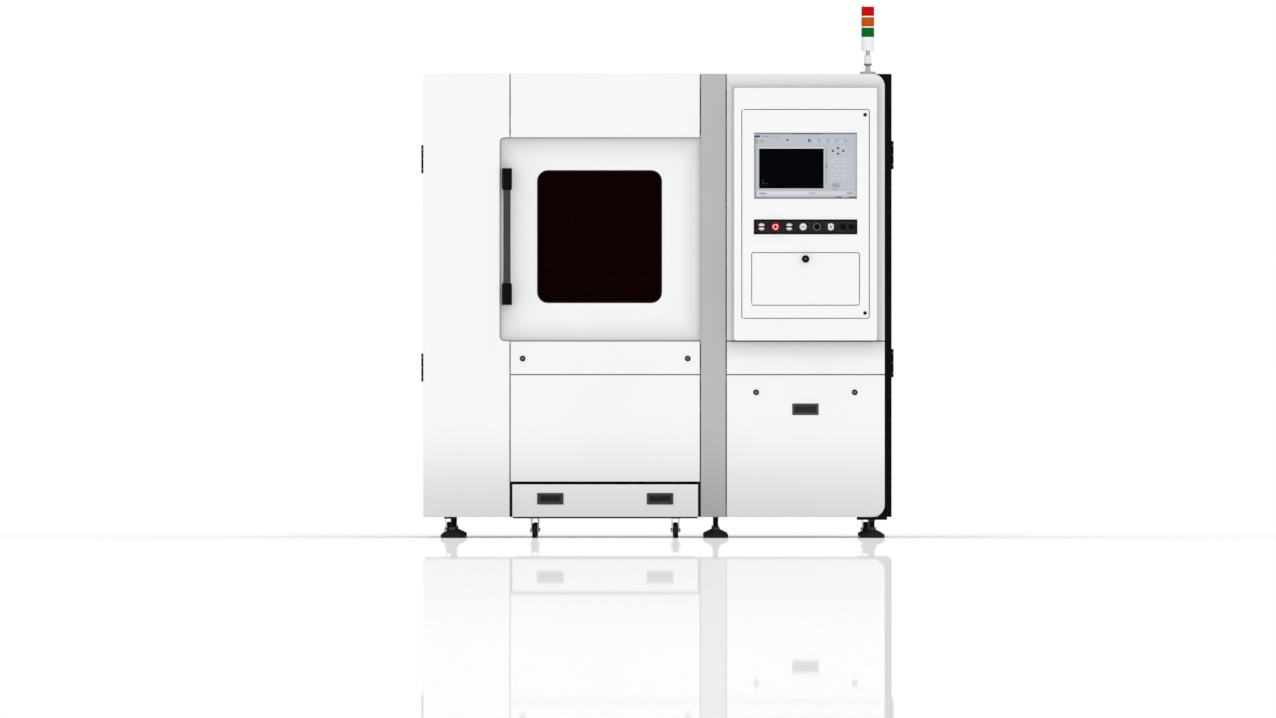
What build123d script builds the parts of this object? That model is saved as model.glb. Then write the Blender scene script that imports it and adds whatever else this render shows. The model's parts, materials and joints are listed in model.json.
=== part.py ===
from build123d import *
import os

# Lengths are millimetres. X runs right as seen from the front, Y runs back and Z runs up from the floor.

# Enclosure, from seam to seam
left_panel_width = 338
door_bay_width = 742
column_width = 101
fascia_width = 618
cheek_width = 27
body_depth = 1280
foot_height = 82
cart_bay_height = 136
lower_panel_height = 419
strip_height = 131
door_bay_height = 794
upper_panel_height = 248

# Folded sheet
sheet = 2
panel_depth = 20
panel_gap = 4
edge_bevel = 2
fascia_corner_radius = 48
side_return = 135
cheek_flange = 50
cut_overrun = 5

# Tube frame
tube = 50
front_layer = 85
mid_post_inset = 5
cross_setback = 55
foot_plate_width = 117
foot_plate_depth = 80
foot_plate_thickness = 11
foot_plate_inset = 18

# Levelling feet
left_foot_inset = 115
mid_foot_inset = 40
right_foot_inset = 75
foot_pad_radius = 48
foot_rim_height = 14
foot_cone_height = 24
foot_stud_radius = 9

# Casters
wheel_radius = 28
wheel_width = 20
axle_radius = 4
axle_clearance = 0.05
fork_leg_drop = 9
fork_sheet = 2.5
fork_side_gap = 2
fork_plate_length = 64
fork_plate_width = 40
fork_leg_top = 46
fork_leg_foot = 20
transport_lift = 6
transport_caster_inset = 100

# Sliding door
door_thickness = 34
door_setback = 41
surround_setback = 8
surround_clearance = 6
door_overlap = 13
notch_width = 40
notch_radius = 18
window_inset = 145
window_rise = 148
window_width = 488
window_height = 519
window_radius = 43
window_lap = 16
window_thickness = 6

# Door handle
handle_inset = 28
handle_length = 533
handle_mount_height = 80
handle_mount_width = 39
handle_reach = 62
grip_radius = 14
grip_seat = 25
grip_clearance = 0.1

# Door rail and hangers
rail_rise = 51
rail_height = 20
rail_depth = 10
hanger_width = 70
hanger_height = 40
hanger_front = 8
hanger_back_gap = 3
hanger_plate = 4
hanger_inset = 60
slide_clearance = 0.3
guide_bar_height = 20
guide_bar_depth = 8
guide_bar_rise = 6

# Control box and its panel
control_box_depth = 80
control_box_side = 30
control_box_crown = 55
control_box_radius = 9
control_panel_side = 32
control_panel_crown = 86
control_panel_foot = 88
control_panel_depth = 15
control_panel_gap = 3
control_panel_radius = 6
hinge_inset = 5
pivot_radius = 2.5
pivot_clearance = 0.05
pivot_length = 8
lug_width = 14
lug_depth = 9

# Monitor
screen_width = 402
screen_height = 258
screen_drop = 89
bezel = 18
bezel_depth = 12
monitor_back_depth = 34
monitor_back_inset = 40

# Button plate and its controls
button_plate_width = 403
button_plate_height = 58
button_plate_drop = 80
button_plate_thickness = 2
button_plate_lap = 6
button_inset = 30
button_pitch = 54
button_radius = 11
button_clearance = 0.3
button_proud = 8
button_tail = 18
stop_proud = 30
stop_head_radius = 16
stop_head_height = 14
selector_base = 6
selector_grip_width = 7
selector_grip_height = 9
key_slot_width = 3
key_slot_length = 12
key_slot_depth = 4

# Keyboard flap
flap_width = 417
flap_height = 202
flap_drop = 73
flap_depth = 12
flap_gap = 3
flap_radius = 6
knob_drop = 23
knob_radius = 14.5
knob_height = 16
knob_shank = 8
knob_shank_length = 10
knob_latch_length = 24
knob_latch_width = 9
knob_latch_thickness = 3
keyboard_width = 370
keyboard_height = 124
keyboard_depth = 10
keyboard_rise = 28
key_rows = 5
key_row_gap = 5
key_height = 5
keyboard_border = 8

# Locks
lock_radius = 11
lock_head = 4
lock_shank = 11
lock_shank_length = 10
shank_clearance = 0.3
lock_cam_length = 26
lock_cam_width = 11
lock_cam_thickness = 3
strip_lock_inset = 49
strip_lock_drop = 68
cabinet_lock_inset = 117
cabinet_lock_drop = 69

# Recessed pulls
pull_width = 103
pull_height = 45
pull_radius = 3
pull_rim = 5
pull_proud = 2
pull_depth = 16
pull_wall = 2
pull_clearance = 0.3
cart_pull_spacing = 428
cart_pull_rise = 71
cabinet_pull_drop = 135

# Scrap cart
cart_gap = 9
bin_side_gap = 12
bin_length = 1000
bin_height = 124
cart_base_drop = 5
cart_caster_inset = 96
cart_caster_front = 62
cart_caster_rear = 90

# Side doors and their hinges
hinge_height = 110
hinge_leaf_width = 36
hinge_leaf_thickness = 5
knuckle_radius = 4.5
knuckle_gap = 0.6
hinge_pin_radius = 2.5
hinge_pin_clearance = 0.05
left_hinge_heights = (1396, 583)
right_hinge_heights = (1412, 600)
side_door_gap = 4
louvre_count = 9
louvre_length = 300
louvre_width = 9
louvre_pitch = 28
louvre_rise = 190

# Machine bed and slat table
bed_clearance = 10
bed_side_width = 120
bed_cross_width = 140
bed_height = 200
bed_drop = 28
bed_front_gap = 5
y_rail_width = 20
y_rail_height = 18
y_rail_end_gap = 30
slat_count = 13
slat_thickness = 4
slat_height = 55
slat_teeth = 12
slat_tooth_depth = 14
slat_end_gap = 0.5
table_ledge_width = 30
table_bar_sheet = 5
table_bar_lap = 30
chute_rim = 120
chute_sheet = 3
chute_mouth_width = 480
chute_mouth_length = 600
chute_mouth_gap = 18

# Gantry
gantry_depth = 140
gantry_height = 140
gantry_rise = 100
gantry_parked_gap = 50
leg_width = 80
leg_depth = 180
runner_width = 54
runner_length = 70
runner_height = 36
runner_lift = 4
x_rail_width = 16
x_rail_depth = 12
x_rail_inset = 30
x_rail_end_gap = 20

# Carriage and cutting head
carriage_width = 140
carriage_height = 134
carriage_plate = 16
carriage_runner_depth = 20
carriage_runner_gap = 2
z_box_width = 90
z_box_depth = 50
z_box_height = 260
z_motor_width = 60
z_motor_height = 90
z_plate_thickness = 12
z_plate_rise = 70
z_plate_height = 150
z_gib_depth = 20
head_reach = 44
head_radius = 30
head_height = 190
collimator_radius = 24
collimator_height = 70
connector_radius = 12
connector_height = 60
sensor_radius = 20
sensor_height = 40
nozzle_radius = 9
nozzle_tip_radius = 3
nozzle_height = 26
nozzle_rest_gap = 120
head_arm_width = 56
head_arm_height = 70

# Cabinet contents
floor_sheet = 4
source_width = 430
source_depth = 680
source_height = 240
source_setback = 195
source_front_plate = 8
source_front_rim = 14
source_handle_radius = 6
source_handle_reach = 40
source_handle_height = 120
source_handle_inset = 40
electrics_standoff = 20
electrics_sheet = 3
electrics_width = 760
electrics_height = 900
electrics_rise = 640
electrics_setback = 170
standoff_width = 16
standoff_inset = 40
drive_count = 4
drive_width = 60
drive_pitch = 90
drive_height = 220
drive_depth = 170
supply_width = 180
supply_height = 130
supply_depth = 80
terminal_height = 60
terminal_depth = 50
terminal_margin = 60

# Exhaust collar
collar_radius = 80
collar_wall = 2
collar_length = 60
collar_rise = 270

# Signal tower
tower_setback = 110
tower_inset = 92
flange_radius = 30
flange_height = 9
tower_stem_height = 24
tower_stem_radius = 11
tower_collar_radius = 14
tower_collar_height = 39
tower_neck_radius = 8.5
tower_neck_height = 19
tower_radius = 25
tower_base_height = 54
tower_ring_radius = 24
tower_ring_height = 5
tower_cap_height = 9
lens_height = 36

# Places along X
body_width = left_panel_width + door_bay_width + column_width + fascia_width + cheek_width
x_left = -body_width / 2
x_bay = x_left + left_panel_width
x_column = x_bay + door_bay_width
x_fascia = x_column + column_width
x_cheek = x_fascia + fascia_width
x_right = x_cheek + cheek_width
x_post_left = x_left + panel_depth
x_post_mid = x_column + mid_post_inset
x_post_right = x_right - panel_depth - tube
x_partition = x_post_mid + tube
x_beam_end = x_right - cheek_flange
x_notch = x_bay - notch_width

# Places along Z
z_bottom = foot_height
z_cart = z_bottom + cart_bay_height
z_strip = z_cart + lower_panel_height
z_bay = z_strip + strip_height
z_upper = z_bay + door_bay_height
z_top = z_upper + upper_panel_height
z_roof = z_top - sheet

# Places along Y, with the whole depth centred on the origin
whole_depth = stop_proud + control_box_depth + body_depth + collar_length
y_front = stop_proud + control_box_depth - whole_depth / 2
y_rear = y_front + body_depth
y_beam = y_front + panel_depth
y_post = y_beam + front_layer
y_post_back = y_post + tube
y_rear_beam = y_rear - sheet - tube
y_cross = y_post_back + cross_setback
y_door = y_beam + door_setback
y_side_seam = y_front + side_return + side_door_gap / 2
y_box = y_front - control_box_depth


def span(x0, x1, y0, y1, z0, z1):
    """Block between two corners."""
    low = (Align.MIN, Align.MIN, Align.MIN)
    return Pos(x0, y0, z0) * Box(x1 - x0, y1 - y0, z1 - z0, align=low)


def area(x0, x1, z0, z1, radius=0):
    """Front-view rectangle between two corners, with rounded corners where a radius is given."""
    place = Pos((x0 + x1) / 2, (z0 + z1) / 2)
    if radius:
        return place * RectangleRounded(x1 - x0, z1 - z0, radius)
    return place * Rectangle(x1 - x0, z1 - z0)


def back(outline, y, depth):
    """Solid made from a front-view outline at depth y, running back."""
    plane = Plane(origin=(0, y, 0), x_dir=(1, 0, 0), z_dir=(0, -1, 0))
    return extrude(plane * outline, amount=-depth)


def disc(x, z, radius, y, depth):
    """Round bar along Y."""
    return back(Pos(x, z) * Circle(radius), y, depth)


def post(x, y, radius, z0, z1):
    """Round bar along Z."""
    return Pos(x, y, z0) * Cylinder(radius, z1 - z0, align=(Align.CENTER, Align.CENTER, Align.MIN))


def turned(x, y, profile):
    """Solid of revolution about an upright axis, from (radius, height) points."""
    half = Plane.XZ * make_face(Polyline(*profile, close=True))
    return Pos(x, y, 0) * revolve(half, Axis.Z)


def tray(outline, y, depth, bevel=edge_bevel):
    """Folded sheet panel: a flat face with its edges turned back all round."""
    block = back(outline, y, depth)
    block = chamfer(block.edges().group_by(Axis.Y)[0], bevel)
    inside = offset(outline, amount=-sheet, kind=Kind.INTERSECTION)
    return block - back(inside, y + sheet, depth)


def corner_rounded(outline, x_side, z_side):
    """Outline with the fascia's large radius on the corner furthest along the two signs."""
    corner = outline.vertices().sort_by(lambda v: v.X * x_side + v.Y * z_side)[-1]
    return fillet(corner, fascia_corner_radius)


def half_gap_area(x0, x1, z0, z1):
    """Panel outline between four seams, set in by half a seam on each side."""
    gap = panel_gap / 2
    return area(x0 + gap, x1 - gap, z0 + gap, z1 - gap)


def left_front_panel():
    gap = panel_gap / 2
    outline = area(x_left, x_bay - gap, z_bottom, z_top)
    outline -= area(x_notch, x_bay + notch_width, z_bay, z_upper, notch_radius)
    wrap = span(x_left, x_left + sheet, y_beam, y_front + side_return, z_bottom, z_roof)
    y_fold = y_front + side_return - sheet
    fold = span(x_left + sheet, x_post_left, y_fold, y_fold + sheet, z_bottom, z_roof)
    return tray(outline, y_front, panel_depth) + wrap + fold + door_surround()


def door_surround():
    """Lining of the door bay, from behind the panels' faces back to the door."""
    outline = area(x_notch, x_column, z_bay, z_upper)
    outline &= area(x_notch, x_column + notch_width, z_bay, z_upper, notch_radius)
    y0 = y_front + surround_setback
    inside = offset(outline, amount=-sheet, kind=Kind.INTERSECTION)
    block = back(outline, y0, y_door - surround_clearance - y0)
    return block - back(inside, y0 - cut_overrun, y_door - y0)


def upper_front_panel():
    gap = panel_gap / 2
    return tray(area(x_bay + gap, x_column - gap, z_upper, z_top), y_front, panel_depth)


def lower_front_panel():
    return tray(half_gap_area(x_bay, x_column, z_cart, z_strip), y_front, panel_depth)


def grey_column():
    gap = panel_gap / 2
    return tray(area(x_column + gap, x_fascia - gap, z_bottom, z_top), y_front, panel_depth)


def right_fascia():
    gap = panel_gap / 2
    outline = area(x_fascia + gap, x_cheek, z_bay + gap, z_top)
    return tray(corner_rounded(outline, 1, 1), y_front, panel_depth)


def fascia_strip():
    gap = panel_gap / 2
    return tray(area(x_fascia + gap, x_cheek, z_strip + gap, z_bay - gap), y_front, panel_depth)


# Welded frame: posts behind the door's path, beams in front of them
def welded_frame():
    bars = []
    post_columns = (x_post_left, x_post_mid, x_post_right)
    for x in post_columns:
        bars.append(span(x, x + tube, y_post, y_post_back, z_bottom, z_roof))
        bars.append(span(x, x + tube, y_rear_beam, y_rear_beam + tube, z_bottom, z_roof))
        for z in (z_bottom, z_roof - tube):
            bars.append(span(x, x + tube, y_post_back, y_rear_beam, z, z + tube))
    for z in (z_strip - tube / 2, z_roof - tube):
        bars.append(span(x_post_left, x_beam_end, y_beam, y_post, z, z + tube))
    x_bay_rail = x_bay - mid_post_inset - tube
    bars.append(span(x_bay_rail, x_bay_rail + tube, y_post, y_rear_beam, z_bottom, z_bottom + tube))
    bars.append(span(x_post_left, x_bay_rail + tube, y_beam, y_post, z_bottom, z_bottom + tube))
    bars.append(span(x_post_mid, x_beam_end, y_beam, y_post, z_bottom, z_bottom + tube))
    z_support = bed_base() - tube
    z_header = rail_centre() - tube / 2
    bays = ((x_post_left + tube, x_post_mid), (x_partition + sheet, x_post_right))
    for x0, x1 in bays:
        bars.append(span(x0, x1, y_post, y_post_back, z_header, z_header + tube))
        bars.append(span(x0, x1, y_rear_beam, y_rear_beam + tube, z_roof - tube, z_roof))
        bars.append(span(x0, x1, y_rear_beam, y_rear_beam + tube, z_support, z_support + tube))
    bars.append(span(*bays[0], y_post, y_post_back, z_support, z_support + tube))
    bars.append(span(*bays[1], y_rear_beam, y_rear_beam + tube, z_bottom, z_bottom + tube))
    crosses = ((x_post_left + tube, x_bay_rail), (x_partition + sheet, x_post_right))
    for x0, x1 in crosses:
        bars.append(span(x0, x1, y_cross, y_cross + tube, z_bottom, z_bottom + tube))
    bars.append(span(x_post_left + tube, x_bay_rail, y_rear_beam, y_rear_beam + tube,
                     z_bottom, z_bottom + tube))
    bars.append(foot_plate())
    return Compound(children=bars)


def foot_plate():
    """Plate under the front right corner that spreads the load of its foot."""
    x1 = x_right - foot_plate_inset
    return span(x1 - foot_plate_width, x1, y_beam, y_beam + foot_plate_depth,
                z_bottom - foot_plate_thickness, z_bottom)


def levelling_feet():
    feet = []
    x_places = (x_left + left_foot_inset, x_fascia - mid_foot_inset, x_right - right_foot_inset)
    for y in (y_beam + tube / 2, y_rear_beam + tube / 2):
        for x in x_places:
            plated = x == x_places[2] and y < 0
            feet.append(levelling_foot(x, y, z_bottom - foot_plate_thickness if plated else z_bottom))
    return Compound(children=feet)


def levelling_foot(x, y, top):
    """Cone pad with its stud."""
    z_neck = foot_rim_height + foot_cone_height
    return turned(x, y, ((0, 0), (foot_pad_radius, 0), (foot_pad_radius, foot_rim_height),
                         (foot_stud_radius, z_neck), (foot_stud_radius, top), (0, top)))


# Casters: a folded fork with its axle, and a wheel that turns on it
def caster_fork(x, y, axle_height, top):
    leg_in = wheel_width / 2 + fork_side_gap
    leg_out = leg_in + fork_sheet
    half_width = fork_plate_width / 2
    half_length = fork_plate_length / 2
    fork = span(x - half_width, x + half_width, y - half_length, y + half_length, top - fork_sheet, top)
    leg = Polyline((-fork_leg_top / 2, top - fork_sheet), (fork_leg_top / 2, top - fork_sheet),
                   (fork_leg_foot / 2, axle_height - fork_leg_drop),
                   (-fork_leg_foot / 2, axle_height - fork_leg_drop), close=True)
    for side in (-1, 1):
        inner = Plane(origin=(x + side * leg_in, y, 0), x_dir=(0, 1, 0), z_dir=(1, 0, 0))
        fork += extrude(inner * make_face(leg), amount=side * fork_sheet)
    axle_plane = Plane(origin=(x, y, axle_height), z_dir=(1, 0, 0))
    return fork + axle_plane * Cylinder(axle_radius, 2 * leg_out)


def caster_wheel(x, y, axle_height):
    axle_plane = Plane(origin=(x, y, axle_height), z_dir=(1, 0, 0))
    tyre = Cylinder(wheel_radius, wheel_width)
    return axle_plane * (tyre - Cylinder(axle_radius + axle_clearance, wheel_width + cut_overrun))


def cart_caster_places():
    y_rear_wheel = y_beam + bin_length - cart_caster_rear
    columns = (("left", x_bay + cart_caster_inset), ("right", x_column - cart_caster_inset))
    rows = (("front", y_front + cart_caster_front), ("rear", y_rear_wheel))
    return {f"{row}_{side}": (x, y) for row, y in rows for side, x in columns}


def transport_caster_places():
    y = y_cross + tube / 2
    return {"left": (x_left + transport_caster_inset, y), "right": (x_right - transport_caster_inset, y)}


def cart_caster_forks():
    forks = [caster_fork(x, y, wheel_radius, bin_base()) for x, y in cart_caster_places().values()]
    return Compound(children=forks)


def transport_caster_forks():
    axle_height = wheel_radius + transport_lift
    forks = [caster_fork(x, y, axle_height, z_bottom) for x, y in transport_caster_places().values()]
    return Compound(children=forks)


# Sliding door
def door_box():
    """Left, right, bottom and top of the door leaf, which laps behind the panels round its bay."""
    return (x_notch - door_overlap, x_column + door_overlap, z_bay - door_overlap, z_upper + door_overlap)


def rail_centre():
    return z_upper + door_overlap + rail_rise


def window_area(grow=0):
    x0 = x_notch + window_inset
    z0 = z_bay + window_rise
    return area(x0 - grow, x0 + window_width + grow, z0 - grow, z0 + window_height + grow,
                window_radius + grow)


def door_leaf():
    x0, x1, z0, z1 = door_box()
    leaf = tray(area(x0, x1, z0, z1), y_door, door_thickness)
    leaf -= back(window_area(), y_door - cut_overrun, door_thickness)
    for x in (x0 + hanger_inset, x1 - hanger_inset - hanger_width):
        leaf += hanger(x, z1)
    return leaf


def hanger(x, z_leaf):
    """Plate that stands on the leaf and carries a runner hooked over the rail."""
    z0 = rail_centre() - hanger_height / 2
    y_rail = y_post - rail_depth
    y_runner = y_rail - hanger_front
    x1 = x + hanger_width
    plate = span(x, x1, y_runner - hanger_plate, y_runner, z_leaf, z0 + hanger_height)
    runner = span(x, x1, y_runner, y_post - hanger_back_gap, z0, z0 + hanger_height)
    half = rail_height / 2 + slide_clearance
    slot = span(x - cut_overrun, x1 + cut_overrun, y_rail - slide_clearance, y_post,
                rail_centre() - half, rail_centre() + half)
    return plate + (runner - slot)


def door_rails():
    x0 = x_post_left
    x1 = x_post_right + tube
    half = rail_height / 2
    rail = span(x0, x1, y_post - rail_depth, y_post, rail_centre() - half, rail_centre() + half)
    z_guide = z_bay + guide_bar_rise
    guide = span(x0, x1, y_post - guide_bar_depth, y_post, z_guide, z_guide + guide_bar_height)
    return Compound(children=[rail, guide])


def door_window():
    return back(window_area(window_lap), y_door + sheet, window_thickness)


def handle_places():
    """Grip axis and the bottoms of the lower and upper mounts, centred on the window."""
    x = x_notch + handle_inset
    z_middle = z_bay + window_rise + window_height / 2
    z0 = z_middle - handle_length / 2
    return x, y_door - handle_reach, z0, z0 + handle_length - handle_mount_height


def door_handle_mounts():
    x, y, z_low, z_high = handle_places()
    half = handle_mount_width / 2
    plan = Pos(x, (y + y_door) / 2) * Rectangle(handle_mount_width, y_door - y) + Pos(x, y) * Circle(half)
    bore = grip_radius + grip_clearance
    low = Pos(0, 0, z_low) * extrude(plan, amount=handle_mount_height)
    low -= post(x, y, bore, z_low + handle_mount_height - grip_seat, z_high)
    high = Pos(0, 0, z_high) * extrude(plan, amount=handle_mount_height)
    high -= post(x, y, bore, z_low + handle_mount_height, z_high + grip_seat)
    return Compound(children=[low, high])


def door_handle_grip():
    x, y, z_low, z_high = handle_places()
    return post(x, y, grip_radius, z_low + handle_mount_height - grip_seat, z_high + grip_seat)


# Control box and control panel
def control_box_edges():
    return (x_fascia + control_box_side, x_cheek - control_box_side,
            z_bay + panel_gap / 2, z_top - control_box_crown)


def control_panel_edges():
    x0, x1, z0, z1 = control_box_edges()
    return (x0 + control_panel_side, x1 - control_panel_side,
            z0 + control_panel_foot, z1 - control_panel_crown)


def control_box():
    x0, x1, z0, z1 = control_box_edges()
    shell = tray(area(x0, x1, z0, z1, control_box_radius), y_box, control_box_depth)
    px0, px1, pz0, pz1 = control_panel_edges()
    gap = control_panel_gap
    mouth = area(px0 - gap, px1 + gap, pz0 - gap, pz1 + gap, control_panel_radius + gap)
    shell -= back(mouth, y_box - cut_overrun, 2 * cut_overrun)
    bore = pivot_radius + pivot_clearance
    x_pivot = px0 + hinge_inset
    y_pivot = y_box + hinge_inset
    for z in (pz0 - gap - pivot_length, pz1 + gap):
        lug = span(x_pivot - lug_width / 2, x_pivot + lug_width / 2,
                   y_box + sheet, y_box + sheet + lug_depth, z, z + pivot_length)
        shell += lug - post(x_pivot, y_pivot, bore, z - cut_overrun, z + pivot_length + cut_overrun)
    return shell


def screen_edges():
    x0, x1, z0, z1 = control_panel_edges()
    x_mid = (x0 + x1) / 2
    top = z1 - screen_drop
    return x_mid - screen_width / 2, x_mid + screen_width / 2, top - screen_height, top


def button_plate_edges():
    x0, x1, z0, z1 = screen_edges()
    x_mid = (x0 + x1) / 2
    half = button_plate_width / 2
    top = z0 - button_plate_drop
    return x_mid - half, x_mid + half, top - button_plate_height, top


def flap_edges():
    x0, x1, z0, z1 = button_plate_edges()
    x_mid = (x0 + x1) / 2
    top = z0 - flap_drop
    return x_mid - flap_width / 2, x_mid + flap_width / 2, top - flap_height, top


def button_places():
    """The six controls, left to right, on the middle line of the plate."""
    x0, x1, z0, z1 = button_plate_edges()
    names = ("red_button", "stop_button", "green_button", "white_button", "selector_knob", "key_switch")
    return {name: (x0 + button_inset + i * button_pitch, (z0 + z1) / 2) for i, name in enumerate(names)}


def control_panel():
    x0, x1, z0, z1 = control_panel_edges()
    panel = tray(area(x0, x1, z0, z1, control_panel_radius), y_box, control_panel_depth, sheet / 2)
    panel -= back(area(*screen_edges()), y_box - cut_overrun, 2 * cut_overrun)
    fx0, fx1, fz0, fz1 = flap_edges()
    gap = flap_gap
    mouth = area(fx0 - gap, fx1 + gap, fz0 - gap, fz1 + gap, flap_radius + gap)
    panel -= back(mouth, y_box - cut_overrun, 2 * cut_overrun)
    bx0, bx1, bz0, bz1 = button_plate_edges()
    lap = button_plate_lap
    panel -= back(area(bx0 + lap, bx1 - lap, bz0 + lap, bz1 - lap), y_box - cut_overrun, 2 * cut_overrun)
    y_pivot = y_box + hinge_inset
    reach = control_panel_gap + pivot_length
    for z in (z0 - reach, z1 - sheet):
        panel += post(x0 + hinge_inset, y_pivot, pivot_radius, z, z + reach + sheet)
    z_pivot = fz0 + hinge_inset
    for x in (fx0 - gap - pivot_length, fx1 + gap):
        lug = span(x, x + pivot_length, y_box + sheet, y_box + sheet + lug_depth,
                   z_pivot - lug_width / 2, z_pivot + lug_width / 2)
        panel += lug - cross_pin(x - cut_overrun, x + pivot_length + cut_overrun,
                                 y_pivot, z_pivot, pivot_clearance)
    return panel


def cross_pin(x0, x1, y, z, grow=0):
    """Flap pivot along X."""
    plane = Plane(origin=(x0, y, z), z_dir=(1, 0, 0))
    return plane * Cylinder(pivot_radius + grow, x1 - x0, align=(Align.CENTER, Align.CENTER, Align.MIN))


def monitor():
    x0, x1, z0, z1 = screen_edges()
    y0 = y_box + sheet
    front = back(area(x0 - bezel, x1 + bezel, z0 - bezel, z1 + bezel), y0, bezel_depth)
    inset = monitor_back_inset
    narrow = area(x0 + inset, x1 - inset, z0 + inset, z1 - inset)
    return front + back(narrow, y0 + bezel_depth, monitor_back_depth)


def button_plate():
    x0, x1, z0, z1 = button_plate_edges()
    plate = back(area(x0, x1, z0, z1), y_box - button_plate_thickness, button_plate_thickness)
    for x, z in button_places().values():
        plate -= disc(x, z, button_radius + button_clearance, y_box - cut_overrun, 2 * cut_overrun)
    return plate


def push_button(name):
    x, z = button_places()[name]
    y0 = y_box - button_plate_thickness - button_proud
    return disc(x, z, button_radius, y0, button_proud + button_tail)


def stop_button():
    x, z = button_places()["stop_button"]
    y0 = y_box - stop_proud
    head = disc(x, z, stop_head_radius, y0, stop_head_height)
    return head + disc(x, z, button_radius, y0 + stop_head_height,
                       stop_proud - stop_head_height + button_tail)


def selector_knob():
    x, z = button_places()["selector_knob"]
    y0 = y_box - button_plate_thickness - selector_base
    base = disc(x, z, button_radius, y0, selector_base + button_tail)
    half = selector_grip_width / 2
    grip = span(x - half, x + half, y0 - selector_grip_height, y0, z - button_radius, z + button_radius)
    return base + (grip & disc(x, z, button_radius, y0 - selector_grip_height, selector_grip_height))


def key_switch():
    x, z = button_places()["key_switch"]
    y0 = y_box - button_plate_thickness - button_proud
    slot = span(x - key_slot_width / 2, x + key_slot_width / 2, y0 - cut_overrun, y0 + key_slot_depth,
                z - key_slot_length / 2, z + key_slot_length / 2)
    return push_button("key_switch") - slot


# Keyboard flap
def knob_place():
    x0, x1, z0, z1 = flap_edges()
    return (x0 + x1) / 2, z1 - knob_drop


def square_shank(x, z, width, y, length):
    """Square bar along Y that turns in a round hole."""
    half = width / 2
    return span(x - half, x + half, y, y + length, z - half, z + half)


def shank_hole(width):
    return width / 2**0.5 + shank_clearance


def keyboard_flap():
    x0, x1, z0, z1 = flap_edges()
    flap = tray(area(x0, x1, z0, z1, flap_radius), y_box, flap_depth, sheet / 2)
    x, z = knob_place()
    flap -= disc(x, z, shank_hole(knob_shank), y_box - cut_overrun, 2 * cut_overrun)
    y_pivot = y_box + hinge_inset
    z_pivot = z0 + hinge_inset
    reach = flap_gap + pivot_length
    flap += cross_pin(x0 - reach, x0 + sheet, y_pivot, z_pivot)
    flap += cross_pin(x1 - sheet, x1 + reach, y_pivot, z_pivot)
    return flap


def flap_knob():
    x, z = knob_place()
    knob = disc(x, z, knob_radius, y_box - knob_height, knob_height)
    shank = square_shank(x, z, knob_shank, y_box, knob_shank_length)
    half = knob_latch_width / 2
    y_latch = y_box + knob_shank_length - knob_latch_thickness
    latch = span(x - knob_latch_length / 2, x + knob_latch_length / 2,
                 y_latch, y_latch + knob_latch_thickness, z - half, z + half)
    return knob + shank + latch


def keyboard():
    """Keyboard lying on the back of the flap, with its rows of keys facing into the box."""
    x0, x1, z0, z1 = flap_edges()
    x_mid = (x0 + x1) / 2
    zk = z0 + keyboard_rise
    y0 = y_box + sheet
    y1 = y0 + keyboard_depth
    half = keyboard_width / 2
    board = span(x_mid - half, x_mid + half, y0, y1, zk, zk + keyboard_height)
    field = keyboard_height - 2 * keyboard_border + key_row_gap
    pitch = field / key_rows
    for i in range(key_rows):
        z = zk + keyboard_border + i * pitch
        board += span(x_mid - half + keyboard_border, x_mid + half - keyboard_border, y1, y1 + key_height,
                      z, z + pitch - key_row_gap)
    return board


# Panels that lift off, their locks and pulls
def lock_hole(x, z):
    return disc(x, z, shank_hole(lock_shank), y_front - cut_overrun, 2 * cut_overrun)


def cam_lock(x, z):
    head = disc(x, z, lock_radius, y_front - lock_head, lock_head)
    shank = square_shank(x, z, lock_shank, y_front, lock_shank_length)
    y_cam = y_front + lock_shank_length
    half = lock_cam_width / 2
    cam = span(x - half, x + lock_cam_length, y_cam, y_cam + lock_cam_thickness, z - half, z + half)
    return head + shank + cam


def strip_lock_places():
    z = z_bay - strip_lock_drop
    return {"left": (x_bay + strip_lock_inset, z), "right": (x_column - strip_lock_inset, z)}


def cabinet_lock_places():
    z = z_strip - cabinet_lock_drop
    return {"left": (x_fascia + cabinet_lock_inset, z), "right": (x_cheek - cabinet_lock_inset, z)}


def bed_strip_panel():
    panel = tray(half_gap_area(x_bay, x_column, z_strip, z_bay), y_front, panel_depth)
    for x, z in strip_lock_places().values():
        panel -= lock_hole(x, z)
    return panel


def cabinet_front_panel():
    gap = panel_gap / 2
    outline = area(x_fascia + gap, x_cheek, z_bottom, z_strip - gap)
    panel = tray(corner_rounded(outline, 1, -1), y_front, panel_depth)
    for x, z in cabinet_lock_places().values():
        panel -= lock_hole(x, z)
    return panel - pull_hole(*cabinet_pull_place())


def cabinet_pull_place():
    return (x_fascia + x_cheek) / 2, z_strip - cabinet_pull_drop


def pull_area(x, z, inset, radius=0):
    half_width = pull_width / 2 - inset
    half_height = pull_height / 2 - inset
    return area(x - half_width, x + half_width, z - half_height, z + half_height, radius)


def pull_hole(x, z):
    return back(pull_area(x, z, pull_rim - pull_clearance), y_front - cut_overrun, 2 * cut_overrun)


def recessed_pull(x, z):
    """Moulded cup with a rim that lies on the panel face."""
    rim = back(pull_area(x, z, 0, pull_radius), y_front - pull_proud, pull_proud)
    cup = back(pull_area(x, z, pull_rim), y_front, pull_depth)
    depth = cut_overrun + pull_depth - pull_wall
    hollow = back(pull_area(x, z, pull_rim + pull_wall), y_front - cut_overrun, depth)
    return rim + cup - hollow


def cart_pull_places():
    x_mid = (x_bay + x_column) / 2
    half = cart_pull_spacing / 2
    z = z_bottom + cart_pull_rise
    return ((x_mid - half, z), (x_mid + half, z))


# Scrap cart
def bin_base():
    return z_bottom - cart_base_drop


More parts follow.
